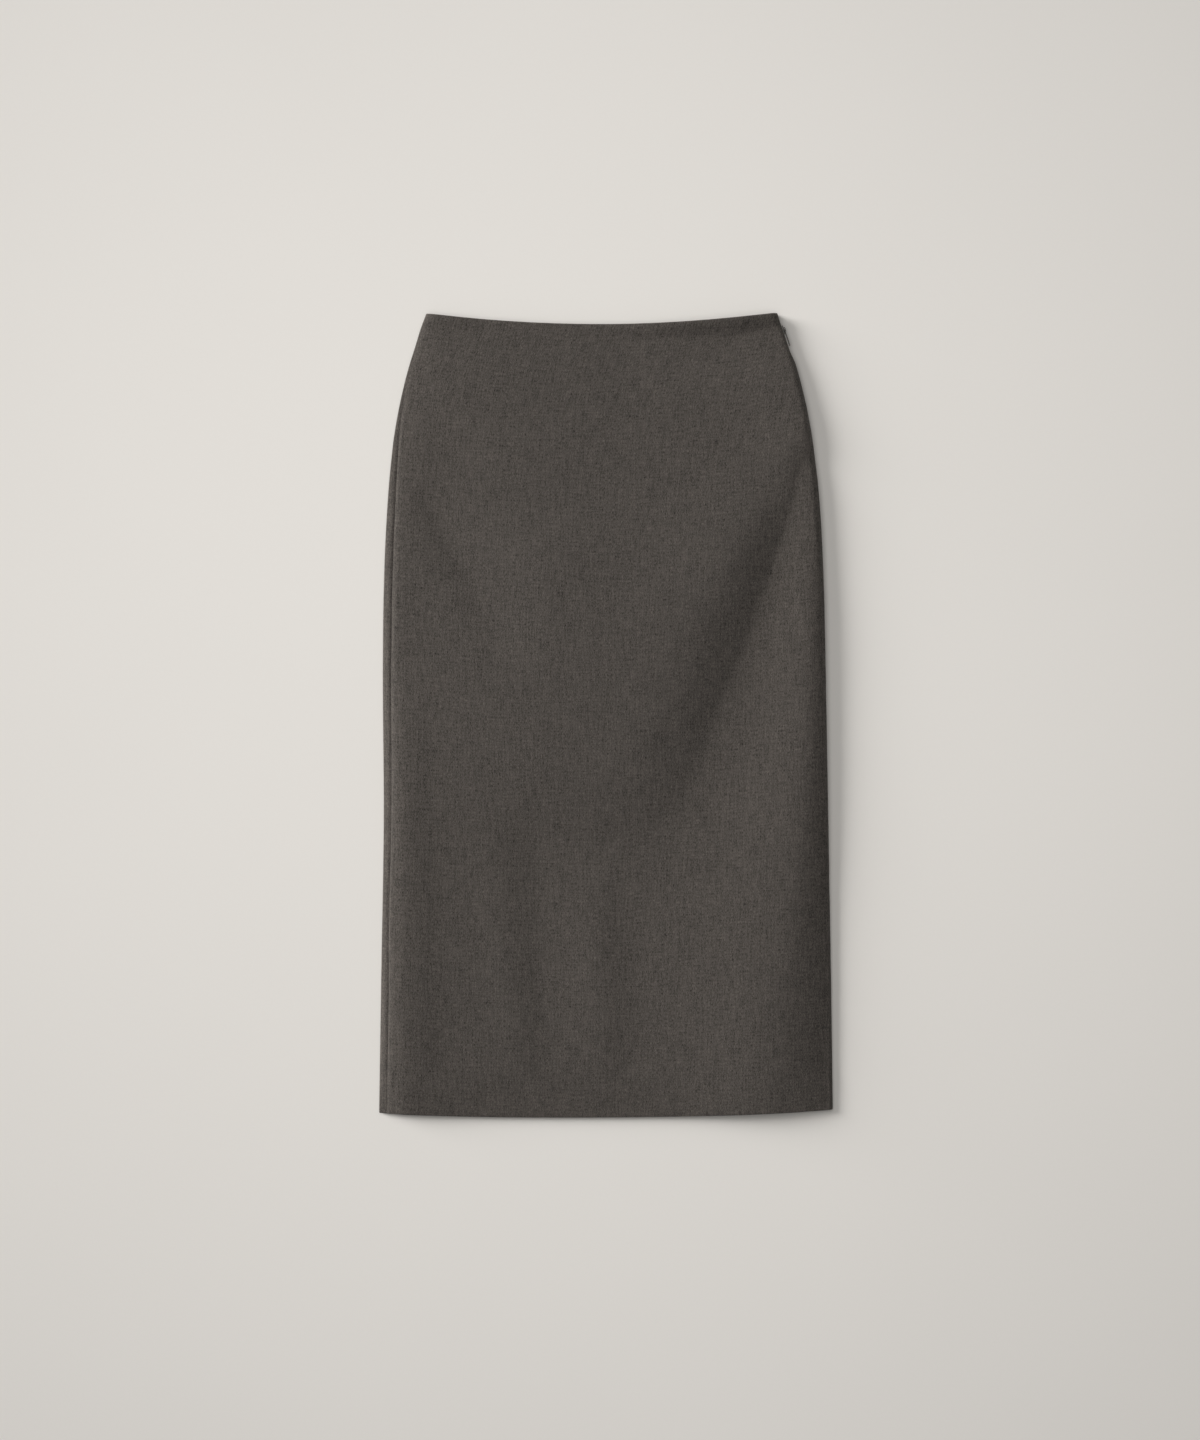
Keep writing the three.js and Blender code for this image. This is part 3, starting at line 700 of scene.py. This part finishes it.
def shellMesh(name, face, normal, wall, distance, down, material, roundSteps=7):
    # each column is one loop: down the outside, round the end, up the inside, round the other end
    inner = face - normal * wall[..., None]
    rows, columns = face.shape[:2]
    angles = [math.pi * k / roundSteps for k in range(1, roundSteps)]

    def turned(row, beside, order):
        out = face[row] - face[beside]
        out = out / np.linalg.norm(out, axis=-1, keepdims=True)
        middle, half = (face[row] + inner[row]) / 2, (face[row] - inner[row]) / 2
        radius = wall[row][:, None] / 2
        turns = [middle + half * math.cos(a) + out * radius * math.sin(a) for a in angles]
        return np.array(turns[::order])

    loops = np.concatenate([face, turned(-1, -2, 1), inner[::-1], turned(0, 1, -1)])
    count = len(loops)
    # the weave runs on over the end and up the inside
    turn = np.array(angles) * wall[0][0] / 2
    vRow = np.concatenate([down, down[-1] + turn, 2 * down[-1] + math.pi * wall[0][0] / 2 - down[::-1],
                           down[0] - turn[::-1]])
    uRows = np.concatenate([distance, np.repeat(distance[-1:], roundSteps - 1, 0), distance[::-1],
                            np.repeat(distance[:1], roundSteps - 1, 0)])
    at = np.arange(count * columns).reshape(count, columns)
    below = np.roll(at, -1, axis=0)
    quads = np.stack([at[:, :-1], below[:, :-1], below[:, 1:], at[:, 1:]], axis=-1).reshape(-1, 4).tolist()
    innerFirst = rows + roundSteps - 1
    for column in (0, columns - 1):
        outerAt = at[:rows, column]
        innerAt = at[innerFirst:innerFirst + rows, column][::-1]
        caps = [[outerAt[r], innerAt[r], innerAt[r + 1], outerAt[r + 1]] for r in range(rows - 1)]
        caps.append([outerAt[-1], innerAt[-1], *at[rows:innerFirst, column][::-1]])
        caps.append([innerAt[0], outerAt[0], *at[innerFirst + rows:, column][::-1]])
        quads += [list(map(int, cap if column == 0 else cap[::-1])) for cap in caps]
    mesh = bpy.data.meshes.new(name)
    mesh.from_pydata((loops.reshape(-1, 3) * mm).tolist(), [], quads)
    uv = np.stack([uRows.reshape(-1), -np.repeat(vRow, columns)], axis=-1) * mm
    layer = mesh.uv_layers.new(name="cloth")
    corner = np.empty(len(mesh.loops), dtype=np.int32)
    mesh.loops.foreach_get("vertex_index", corner)
    layer.data.foreach_set("uv", uv[corner].astype(np.float32).reshape(-1))
    mesh.polygons.foreach_set("use_smooth", np.ones(len(mesh.polygons), dtype=bool))
    mesh.set_sharp_from_angle(angle=math.radians(55))
    mesh.materials.append(material)
    mesh.validate()
    return mesh


def wallThickness(down, shape):
    waistPart = 1 - ease((down - skirt["waistTurn"]) / skirt["turnStep"])
    hemPart = ease((down - skirt["length"] + skirt["hemTurn"]) / skirt["turnStep"])
    turned = waistPart + hemPart
    thick = mix(skirt["wall"], skirt["turnedWall"], turned)
    return np.repeat(thick[:, None], shape[1], axis=1)


def makePanel(name, waysAt, reliefAt):
    down = rowsDown(skirt["turnedWall"] / 2)
    ways = waysAt(down)
    downs = np.repeat(down[:, None], ways.shape[1], axis=1)
    face = facePoint(ways, downs)
    normal = faceNormal(ways, downs)
    distance = ringDistance(face)
    face = face + normal * reliefAt(face, ways, downs, distance)[..., None]
    face[..., 2] = np.maximum(face[..., 2], skirt["floorGap"])
    mesh = shellMesh(name, face, normal, wallThickness(down, face.shape), distance, down, woolTwill)
    widths = distance[:, -1]
    area = float(np.sum((widths[1:] + widths[:-1]) / 2 * np.diff(down))) * mm * mm
    print(name, len(mesh.vertices), "points, cut area", round(area, 4), "square metres")
    return addObject(name, mesh), area, float(widths.max()) * mm


def beside(way, down, shift):
    # a seam's edge, moved along the ring by this many millimetres
    way = np.broadcast_to(way, down.shape)
    nudge = 0.01 * np.sign(shift)
    pace = np.linalg.norm(facePoint(way + nudge, down) - facePoint(way, down), axis=-1) / abs(nudge)
    return way + shift / pace


# how many cells each stretch of the ring is cut into
cells = {
    "frontEdgeLeft": 6,
    "frontFlat": 128,
    "frontCrowding": 0.011,  # how much closer the cells are at the front's two edges
    "frontEdgeRight": 11,
    "backFlat": 56,
    "backRoll": 10,
    "backEdge": 12,
    "tapeArm": 6,
    "tapeRound": 20,
    "tapeDown": 110,
}


def frontWays(down):
    rows = len(down)
    start = beside(seamWay(down), down, skirt["seamGap"] / 2)
    end = beside(skirt["rightSeamWay"], down, -skirt["seamGap"] / 2)
    shares = np.linspace(0, 1, cells["frontFlat"] + 1)
    across = 3 + shares - cells["frontCrowding"] * np.sin(2 * math.pi * shares)
    across = np.broadcast_to(across, (rows, len(across)))
    return np.concatenate([steps(start, 3, cells["frontEdgeLeft"], rows)[:, :-1], across,
                           steps(4, end, cells["frontEdgeRight"], rows)[:, 1:]], axis=1)


# grooves where the cloth dips into its seams
seams = {"leftWide": 1.5, "rightDeep": 0.5, "rightWide": 1.4, "backDeep": 0.7, "backWide": 1.6}
lipFromSeam = {"inward": 3.4, "wide": 2}
sagUnder = 0.12  # how far the middle of the underside stands off the floor


def groove(away, wide):
    return np.exp(-(away / wide) ** 1.4)


def leftSeamRelief(y, away, side):
    # side is 1 on the front, which has the lip, and 0 on the back
    dip = along(leftSeam, "y", "groove", y) * groove(away, seams["leftWide"])
    lip = along(leftSeam, "y", "lip", y) * hump(away - lipFromSeam["inward"], lipFromSeam["wide"])
    return lip * side - dip


def frontRelief(face, ways, downs, distance):
    x, y = face[..., 0], face[..., 1]
    up = skirt["length"] - downs
    fromEnd = distance[:, -1:] - distance
    ridge = rightRidge["high"] * hump(fromEnd - rightRidge["inward"], rightRidge["wide"])
    ridge = ridge * ease((rightRidge["start"] - y) / rightRidge["fade"])
    seamLine = -seams["rightDeep"] * groove(fromEnd, seams["rightWide"])
    return leftSeamRelief(y, distance, 1) + ridge + seamLine + hemRelief(x, up) + clothRipple(x, y)


def undersideRelief(face, ways):
    x, y = face[..., 0], face[..., 1]
    flat = np.where((ways < 1) | (ways > 6), 1.0, 0.0)
    return -(foldHeight(backFolds, x, y) + sagUnder + clothRipple(x, y)) * flat


def backGap(down):
    parted = ease((down - skirt["length"] + skirt["slitLength"]) / skirt["slitLength"])
    return skirt["seamGap"] / 2 + skirt["slitSpread"] * parted


def backLeftWays(down):
    rows = len(down)
    width = flatSpans(levelAt(down))[1]
    end = beside(seamWay(down), down, -skirt["seamGap"] / 2)
    return np.concatenate([steps(backGap(down) / width, 1, cells["backFlat"], rows),
                           steps(1, 2, cells["backRoll"], rows)[:, 1:],
                           steps(2, end, cells["backEdge"], rows)[:, 1:]], axis=1)


def backRightWays(down):
    rows = len(down)
    width = flatSpans(levelAt(down))[2]
    start = beside(skirt["rightSeamWay"], down, skirt["seamGap"] / 2)
    return np.concatenate([steps(start, 6, cells["backEdge"], rows),
                           steps(6, 7 - backGap(down) / width, cells["backFlat"], rows)[:, 1:]], axis=1)


def backSeamRelief(away):
    return -seams["backDeep"] * groove(away, seams["backWide"])


def backLeftRelief(face, ways, downs, distance):
    fromEnd = distance[:, -1:] - distance
    return (undersideRelief(face, ways) + leftSeamRelief(face[..., 1], fromEnd, 0)
            + backSeamRelief(distance))


def backRightRelief(face, ways, downs, distance):
    fromEnd = distance[:, -1:] - distance
    seamLine = -seams["rightDeep"] * groove(distance, seams["rightWide"])
    return undersideRelief(face, ways) + backSeamRelief(fromEnd) + seamLine


frontPanel, frontArea, frontWide = makePanel("front", frontWays, frontRelief)
backLeft, backLeftArea, backLeftWide = makePanel("backLeft", backLeftWays, backLeftRelief)
backRight, backRightArea, backRightWide = makePanel("backRight", backRightWays, backRightRelief)

# zip: woven tapes, nylon coil, enamelled slider and pull
zipper = {
    "start": 12,
    "length": 185,
    "tapeWall": 0.7,
    "tapeReach": 10,
    "clearance": 0.25,
}


def makeZipTape():
    rows = cells["tapeDown"]
    down = np.linspace(zipper["start"] + 1, zipper["start"] + zipper["length"], rows)
    frontSpan, _, backSpan = flatSpans(levelAt(down))
    ways = np.concatenate([
        steps(4 - zipper["tapeReach"] / frontSpan, 4, cells["tapeArm"], rows),
        steps(4, 6, cells["tapeRound"], rows)[:, 1:],
        steps(6, 6 + zipper["tapeReach"] / backSpan, cells["tapeArm"], rows)[:, 1:]], axis=1)
    downs = np.repeat(down[:, None], ways.shape[1], axis=1)
    normal = faceNormal(ways, downs)
    face = facePoint(ways, downs) - normal * (skirt["wall"] + zipper["clearance"])
    wall = np.full(face.shape[:2], zipper["tapeWall"])
    mesh = shellMesh("zipTape", face, normal, wall, ringDistance(face), down, tapeWeave, 3)
    return addObject("zipTape", mesh)


zipTape = makeZipTape()
print("panels and tape made")


def addNode(tree, kind, **values):
    node = tree.nodes.new(kind)
    for label, value in values.items():
        feed(tree, node.inputs[label.replace("_", " ")], value)
    return node


def rowTree(name, shapeCurve):
    # lays one small thread shape along a line, its top turned to the line's outward side
    tree = bpy.data.node_groups.new(name, "GeometryNodeTree")
    sockets = tree.interface
    sockets.new_socket("Geometry", in_out="INPUT", socket_type="NodeSocketGeometry")
    for label in ("Pitch", "Length", "Thickness", "Height", "Slant", "Unevenness"):
        sockets.new_socket(label, in_out="INPUT", socket_type="NodeSocketFloat")
    sockets.new_socket("Seed", in_out="INPUT", socket_type="NodeSocketInt")
    sockets.new_socket("Material", in_out="INPUT", socket_type="NodeSocketMaterial")
    sockets.new_socket("Geometry", in_out="OUTPUT", socket_type="NodeSocketGeometry")
    given = tree.nodes.new("NodeGroupInput").outputs
    line = addNode(tree, "GeometryNodeMeshToCurve", Mesh=given["Geometry"]).outputs[0]
    spaced = tree.nodes.new("GeometryNodeResampleCurve")
    spaced.mode = "LENGTH"
    feed(tree, spaced.inputs["Curve"], line)
    feed(tree, spaced.inputs["Length"], given["Pitch"])
    outward = tree.nodes.new("GeometryNodeInputNamedAttribute")
    outward.data_type = "FLOAT_VECTOR"
    outward.inputs["Name"].default_value = "outward"
    facing = tree.nodes.new("FunctionNodeAxesToRotation")
    facing.primary_axis = "Z"
    facing.secondary_axis = "X"
    tangent = tree.nodes.new("GeometryNodeInputTangent").outputs["Tangent"]
    feed(tree, facing.inputs["Primary Axis"], outward.outputs["Attribute"])
    feed(tree, facing.inputs["Secondary Axis"], tangent)
    uneven = tree.nodes.new("FunctionNodeRandomValue")
    uneven.data_type = "FLOAT"
    feed(tree, uneven.inputs["Min"], calc(tree, "MULTIPLY", given["Unevenness"], -1.0))
    feed(tree, uneven.inputs["Max"], given["Unevenness"])
    feed(tree, uneven.inputs["Seed"], given["Seed"])
    angle = calc(tree, "ADD", given["Slant"], uneven.outputs["Value"])
    slanted = addNode(tree, "FunctionNodeAxisAngleToRotation", Axis=(0, 0, 1), Angle=angle)
    turned = tree.nodes.new("FunctionNodeRotateRotation")
    turned.rotation_space = "LOCAL"
    feed(tree, turned.inputs["Rotation"], facing.outputs["Rotation"])
    feed(tree, turned.inputs["Rotate By"], slanted.outputs["Rotation"])
    circle = addNode(tree, "GeometryNodeCurvePrimitiveCircle", Resolution=6,
                     Radius=calc(tree, "MULTIPLY", given["Thickness"], 0.5)).outputs[0]
    shape = addNode(tree, "GeometryNodeCurveToMesh", Curve=shapeCurve(tree, given), Profile_Curve=circle,
                    Fill_Caps=True).outputs[0]
    placed = addNode(tree, "GeometryNodeInstanceOnPoints", Points=spaced.outputs[0], Instance=shape,
                     Rotation=turned.outputs[0]).outputs[0]
    real = addNode(tree, "GeometryNodeRealizeInstances", Geometry=placed).outputs[0]
    finished = addNode(tree, "GeometryNodeSetMaterial", Geometry=real, Material=given["Material"]).outputs[0]
    feed(tree, tree.nodes.new("NodeGroupOutput").inputs["Geometry"], finished)
    return tree


def stitchCurve(tree, given):
    # one stitch: up out of the cloth, over, and down again
    half = calc(tree, "MULTIPLY", given["Length"], 0.5)
    sunk = calc(tree, "MULTIPLY", given["Height"], -1.0)
    start = addNode(tree, "ShaderNodeCombineXYZ", X=calc(tree, "MULTIPLY", half, -1.0), Z=sunk).outputs[0]
    top = addNode(tree, "ShaderNodeCombineXYZ", Z=given["Height"]).outputs[0]
    end = addNode(tree, "ShaderNodeCombineXYZ", X=half, Z=sunk).outputs[0]
    return addNode(tree, "GeometryNodeCurveQuadraticBezier", Resolution=5, Start=start, Middle=top,
                   End=end).outputs[0]


def coilCurve(tree, given):
    # one turn of the coil, its axis along the line, flattened towards the tape
    half = calc(tree, "MULTIPLY", given["Length"], 0.5)
    turn = addNode(tree, "GeometryNodeCurveSpiral", Resolution=11, Rotations=1.0, Start_Radius=half,
                   End_Radius=half, Height=given["Pitch"]).outputs[0]
    laid = addNode(tree, "GeometryNodeTransform", Geometry=turn, Rotation=(0, math.pi / 2, 0)).outputs[0]
    flat = addNode(tree, "ShaderNodeCombineXYZ", X=1.0, Y=1.0,
                   Z=calc(tree, "DIVIDE", given["Height"], given["Length"])).outputs[0]
    return addNode(tree, "GeometryNodeTransform", Geometry=laid, Scale=flat).outputs[0]


def makeRow(name, tree, lines, settings, material):
    # lines: for each, its points in millimetres and the outward direction at each
    points, outwards, edges = [], [], []
    for places, directions in lines:
        edges += [(len(points) + k, len(points) + k + 1) for k in range(len(places) - 1)]
        points += (places * mm).tolist()
        outwards += directions.tolist()
    path = bpy.data.meshes.new(name + "Line")
    path.from_pydata(points, edges, [])
    stored = path.attributes.new("outward", "FLOAT_VECTOR", "POINT")
    stored.data.foreach_set("vector", np.array(outwards, dtype=np.float32).reshape(-1))
    holder = addObject(name + "Line", path)
    modifier = holder.modifiers.new(name, "NODES")
    modifier.node_group = tree
    values = {
        "Pitch": settings["pitch"] * mm,
        "Length": settings["length"] * mm,
        "Thickness": settings["thick"] * mm,
        "Height": settings["height"] * mm,
        "Slant": math.radians(settings["slant"]),
        "Unevenness": math.radians(settings["uneven"]),
        "Seed": settings["seed"],
        "Material": material,
    }
    for item in tree.interface.items_tree:
        if item.name in values:
            modifier[item.identifier] = values[item.name]
    bpy.context.view_layer.update()
    mesh = bpy.data.meshes.new_from_object(holder.evaluated_get(bpy.context.evaluated_depsgraph_get()))
    bpy.data.objects.remove(holder)
    mesh.name = name
    mesh.polygons.foreach_set("use_smooth", np.ones(len(mesh.polygons), dtype=bool))
    print(name, len(mesh.polygons), "faces")
    return addObject(name, mesh)


def alongCloth(ways, downs, deep):
    # a line at this depth below the cloth's outer face, and the way into the hollow
    ways, downs = (value.reshape(1, -1) for value in np.broadcast_arrays(ways, downs))
    normal = faceNormal(ways, downs)
    return (facePoint(ways, downs) - normal * deep)[0], -normal[0]


# one turn of the coil: its pitch, width, wire and thickness; it stops short of the tape's ends
coilSettings = {"pitch": 1.3, "length": 1.6, "thick": 0.34, "height": 1.1, "slant": 0, "uneven": 0, "seed": 1}
coilEnds = {"top": 9, "bottom": 2, "points": 60}
coilDown = np.linspace(zipper["start"] + coilEnds["top"],
                       zipper["start"] + zipper["length"] - coilEnds["bottom"], coilEnds["points"])
coilDepth = skirt["wall"] + zipper["clearance"] + zipper["tapeWall"] + coilSettings["height"] / 2
coilLine = alongCloth(skirt["rightSeamWay"], coilDown, coilDepth)
coil = makeRow("zipCoil", rowTree("coilRow", coilCurve), [coilLine], coilSettings, coilNylon)

# sewing: blind stitches inside the turnings, tape stitches, the tack at the slit's top, and the
# two short stitches on the front below the waist edge
stitchTree = rowTree("stitchRow", stitchCurve)
blindStitch = {"pitch": 6.4, "length": 3.2, "thick": 0.26, "height": 0.3, "slant": 38, "uneven": 9, "seed": 3}
tapeStitch = {"pitch": 2.8, "length": 2.3, "thick": 0.26, "height": 0.16, "slant": 0, "uneven": 3, "seed": 5}
tackStitch = {"pitch": 0.45, "length": 2.6, "thick": 0.28, "height": 0.1, "slant": 90, "uneven": 5, "seed": 8}
loopStitch = {"pitch": 6.0, "length": 3.2, "thick": 0.34, "height": 0.16, "slant": 0, "uneven": 0, "seed": 2}


sewing = {
    "fromSeam": 3,  # the blind stitches stop this far from each side seam
    "fromBackSeam": 0.02,  # and this share of a back's width from the centre back seam
    "sunk": 0.45,  # how far the blind stitches lie in the turning's edge
    "waistBelow": 0.4,
    "hemBelow": 1.1,
    "tapeInset": 2,
    "tapeEnds": 4,
    "tackHalf": 2.6,
    "tackAbove": 0.24,
    "linePoints": 160,
    "tapePoints": 80,
}
frontStitchAt = [(-122.4, 4.2), (135.6, 4.0)]  # across, and down from the waist edge


def turnedEdgeLines(down):
    # inside, along the raw edge of the waist's or the hem's turning, on the front and the two backs
    level = np.array([down])
    gap, share = sewing["fromSeam"], sewing["fromBackSeam"]
    spans = [
        (beside(seamWay(level), level, gap)[0], beside(skirt["rightSeamWay"], level, -gap)[0]),
        (share, beside(seamWay(level), level, -gap)[0]),
        (beside(skirt["rightSeamWay"], level, gap)[0], 7 - share),
    ]
    deep = skirt["turnedWall"] - sewing["sunk"]
    return [alongCloth(np.linspace(start, end, sewing["linePoints"]), down, deep) for start, end in spans]


def tapeLines():
    top = zipper["start"] + sewing["tapeEnds"]
    bottom = zipper["start"] + zipper["length"] - sewing["tapeEnds"]
    down = np.linspace(top, bottom, sewing["tapePoints"])
    frontSpan, _, backSpan = flatSpans(levelAt(down))
    reach = zipper["tapeReach"] - sewing["tapeInset"]
    deep = skirt["wall"] + zipper["clearance"] + zipper["tapeWall"]
    return [alongCloth(4 - reach / frontSpan, down, deep), alongCloth(6 + reach / backSpan, down, deep)]


def frontStitchLine(x, down):
    # a millimetre of upright line on the front's outer face
    level = waistEdge(x)
    left = along(outline, "y", "left", level) + skirt["leftRoll"]
    places, inward = alongCloth(3 + (x - left) / flatSpans(level)[0], np.linspace(down, down + 1, 4), 0)
    return places, -inward


def slitTackLine():
    y = levelAt(skirt["length"] - skirt["slitLength"])
    half = sewing["tackHalf"]
    places = np.array([(skirt["backSeamX"] + x, y, sewing["tackAbove"]) for x in (-half, 0, half)])
    return places, np.array([(0, 0, -1.0)] * 3)


waistLines = turnedEdgeLines(skirt["waistTurn"] + sewing["waistBelow"])
hemLines = turnedEdgeLines(skirt["length"] - skirt["hemTurn"] + sewing["hemBelow"])
frontStitchLines = [frontStitchLine(x, down) for x, down in frontStitchAt]
waistStitches = makeRow("waistStitches", stitchTree, waistLines, blindStitch, sewingThread)
hemStitches = makeRow("hemStitches", stitchTree, hemLines, blindStitch, sewingThread)
tapeStitches = makeRow("tapeStitches", stitchTree, tapeLines(), tapeStitch, sewingThread)
slitTack = makeRow("slitTack", stitchTree, [slitTackLine()], tackStitch, sewingThread)
loopStitches = makeRow("loopStitches", stitchTree, frontStitchLines, loopStitch, sewingThread)
print("coil and stitches made")

# slider and pull: flat enamelled pieces with rounded edges, about the pull's hinge; their x runs
# out of the seam, y up the seam and z up from the floor
hardware = {
    "pivot": (174.243, 377.523, 5.2),
    "outward": (0.94731, 0.32031, 0),
    "bevel": 0.12,
    "bevelSteps": 2,
    "weld": 0.002,
}
outwardWay = Vector(hardware["outward"])
upWay = Vector((-outwardWay.y, outwardWay.x, 0))
# corners with their rounding radius
sliderBase = {
    "low": -1.1, "high": -0.6,
    "corners": [(-1.7, 4.5, 0.7), (-1.2, -4.5, 0.6), (1.2, -4.5, 0.6), (1.7, 4.5, 0.7), (0, 4.0, 0.5)],
}
sliderArch = {
    "low": -0.55, "high": 0.55,
    "corners": [(-0.85, -2.1, 0.1), (1.1, -2.1, 0.5), (1.1, 2.1, 0.5), (-0.85, 2.1, 0.1),
                (-0.85, 1.6, 0.1), (0.6, 1.6, 0.25), (0.6, -1.6, 0.25), (-0.85, -1.6, 0.1)],
}
pullPlate = {
    "low": -0.3, "high": 0.3,
    "corners": [(-1.4, 0.35, 0.5), (-1.7, -16.65, 1.4), (1.7, -16.65, 1.4), (1.4, 0.35, 0.5)],
    "eye": [(-0.85, -0.35, 0.35), (-0.85, -3.15, 0.7), (0.85, -3.15, 0.7), (0.85, -0.35, 0.35)],
}


def rounded(corners, turns=6):
    points = []
    for k, (x, y, radius) in enumerate(corners):
        here = Vector((x, y))
        before = (Vector(corners[k - 1][:2]) - here).normalized()
        after = (Vector(corners[(k + 1) % len(corners)][:2]) - here).normalized()
        reach = radius / math.tan(before.angle(after) / 2)
        for step in range(turns + 1):
            t = step / turns
            points.append(here + before * reach * (1 - t) ** 2 + after * reach * t ** 2)
    return points


def plateMesh(name, plate, flatWays):
    # a filled outline, thickened along its own normal; flatWays are its two axes and the normal
    data = bpy.data.curves.new(name, "CURVE")
    data.dimensions = "2D"
    data.fill_mode = "BOTH"
    data.extrude = (plate["high"] - plate["low"]) / 2 - hardware["bevel"]
    data.bevel_depth = hardware["bevel"]
    data.bevel_resolution = hardware["bevelSteps"]
    data.offset = -hardware["bevel"]
    for corners in (plate["corners"], plate.get("eye")):
        if corners:
            spline = data.splines.new("POLY")
            points = rounded(corners)
            spline.points.add(len(points) - 1)
            for point, place in zip(spline.points, points):
                point.co = (place.x, place.y, 0, 1)
            spline.use_cyclic_u = True
    holder = addObject(name, data)
    mesh = bpy.data.meshes.new_from_object(holder.evaluated_get(bpy.context.evaluated_depsgraph_get()))
    bpy.data.objects.remove(holder)
    middle = (plate["high"] + plate["low"]) / 2
    xWay, yWay, normal = flatWays
    for vertex in mesh.vertices:
        x, y, z = vertex.co
        vertex.co = (Vector(hardware["pivot"]) + xWay * x + yWay * y + normal * (z + middle)) * mm
    return mesh


def makeHardware(name, parts):
    shape = bmesh.new()
    for plate, flatWays in parts:
        shape.from_mesh(plateMesh(name, plate, flatWays))
    bmesh.ops.remove_doubles(shape, verts=shape.verts, dist=hardware["weld"] * mm)
    bmesh.ops.recalc_face_normals(shape, faces=shape.faces)
    mesh = bpy.data.meshes.new(name)
    shape.to_mesh(mesh)
    shape.free()
    mesh.polygons.foreach_set("use_smooth", np.ones(len(mesh.polygons), dtype=bool))
    mesh.set_sharp_from_angle(angle=math.radians(40))
    mesh.materials.append(zipEnamel)
    print(name, len(mesh.polygons), "faces")
    return addObject(name, mesh)


sideways = Vector((0, 0, 1))
faceOut = (sideways, upWay, outwardWay)
zipSlider = makeHardware("zipSlider", [(sliderBase, faceOut), (sliderArch, (outwardWay, upWay, sideways))])
zipPull = makeHardware("zipPull", [(pullPlate, faceOut)])

print("slider and pull made")

# each piece with its node, its cut (widest and area) and what lies under it; all go on the skirt's body
panels = [
    (frontPanel, "front_panel", frontWide, frontArea, ["backLeft", "backRight"]),
    (backLeft, "back_panel_left", backLeftWide, backLeftArea, ["floor"]),
    (backRight, "back_panel_right", backRightWide, backRightArea, ["floor"]),
]
for piece, node, wide, area, under in panels:
    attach(piece, "skirt")
    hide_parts(node)
for piece in (zipTape, coil):
    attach(piece, "skirt")
    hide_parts("zip_tape")
for piece in (waistStitches, hemStitches, tapeStitches, slitTack, loopStitches):
    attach(piece, "skirt")
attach(zipSlider, "skirt")
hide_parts("zip_slider")
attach(zipPull, "pull")
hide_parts("zip_pull")
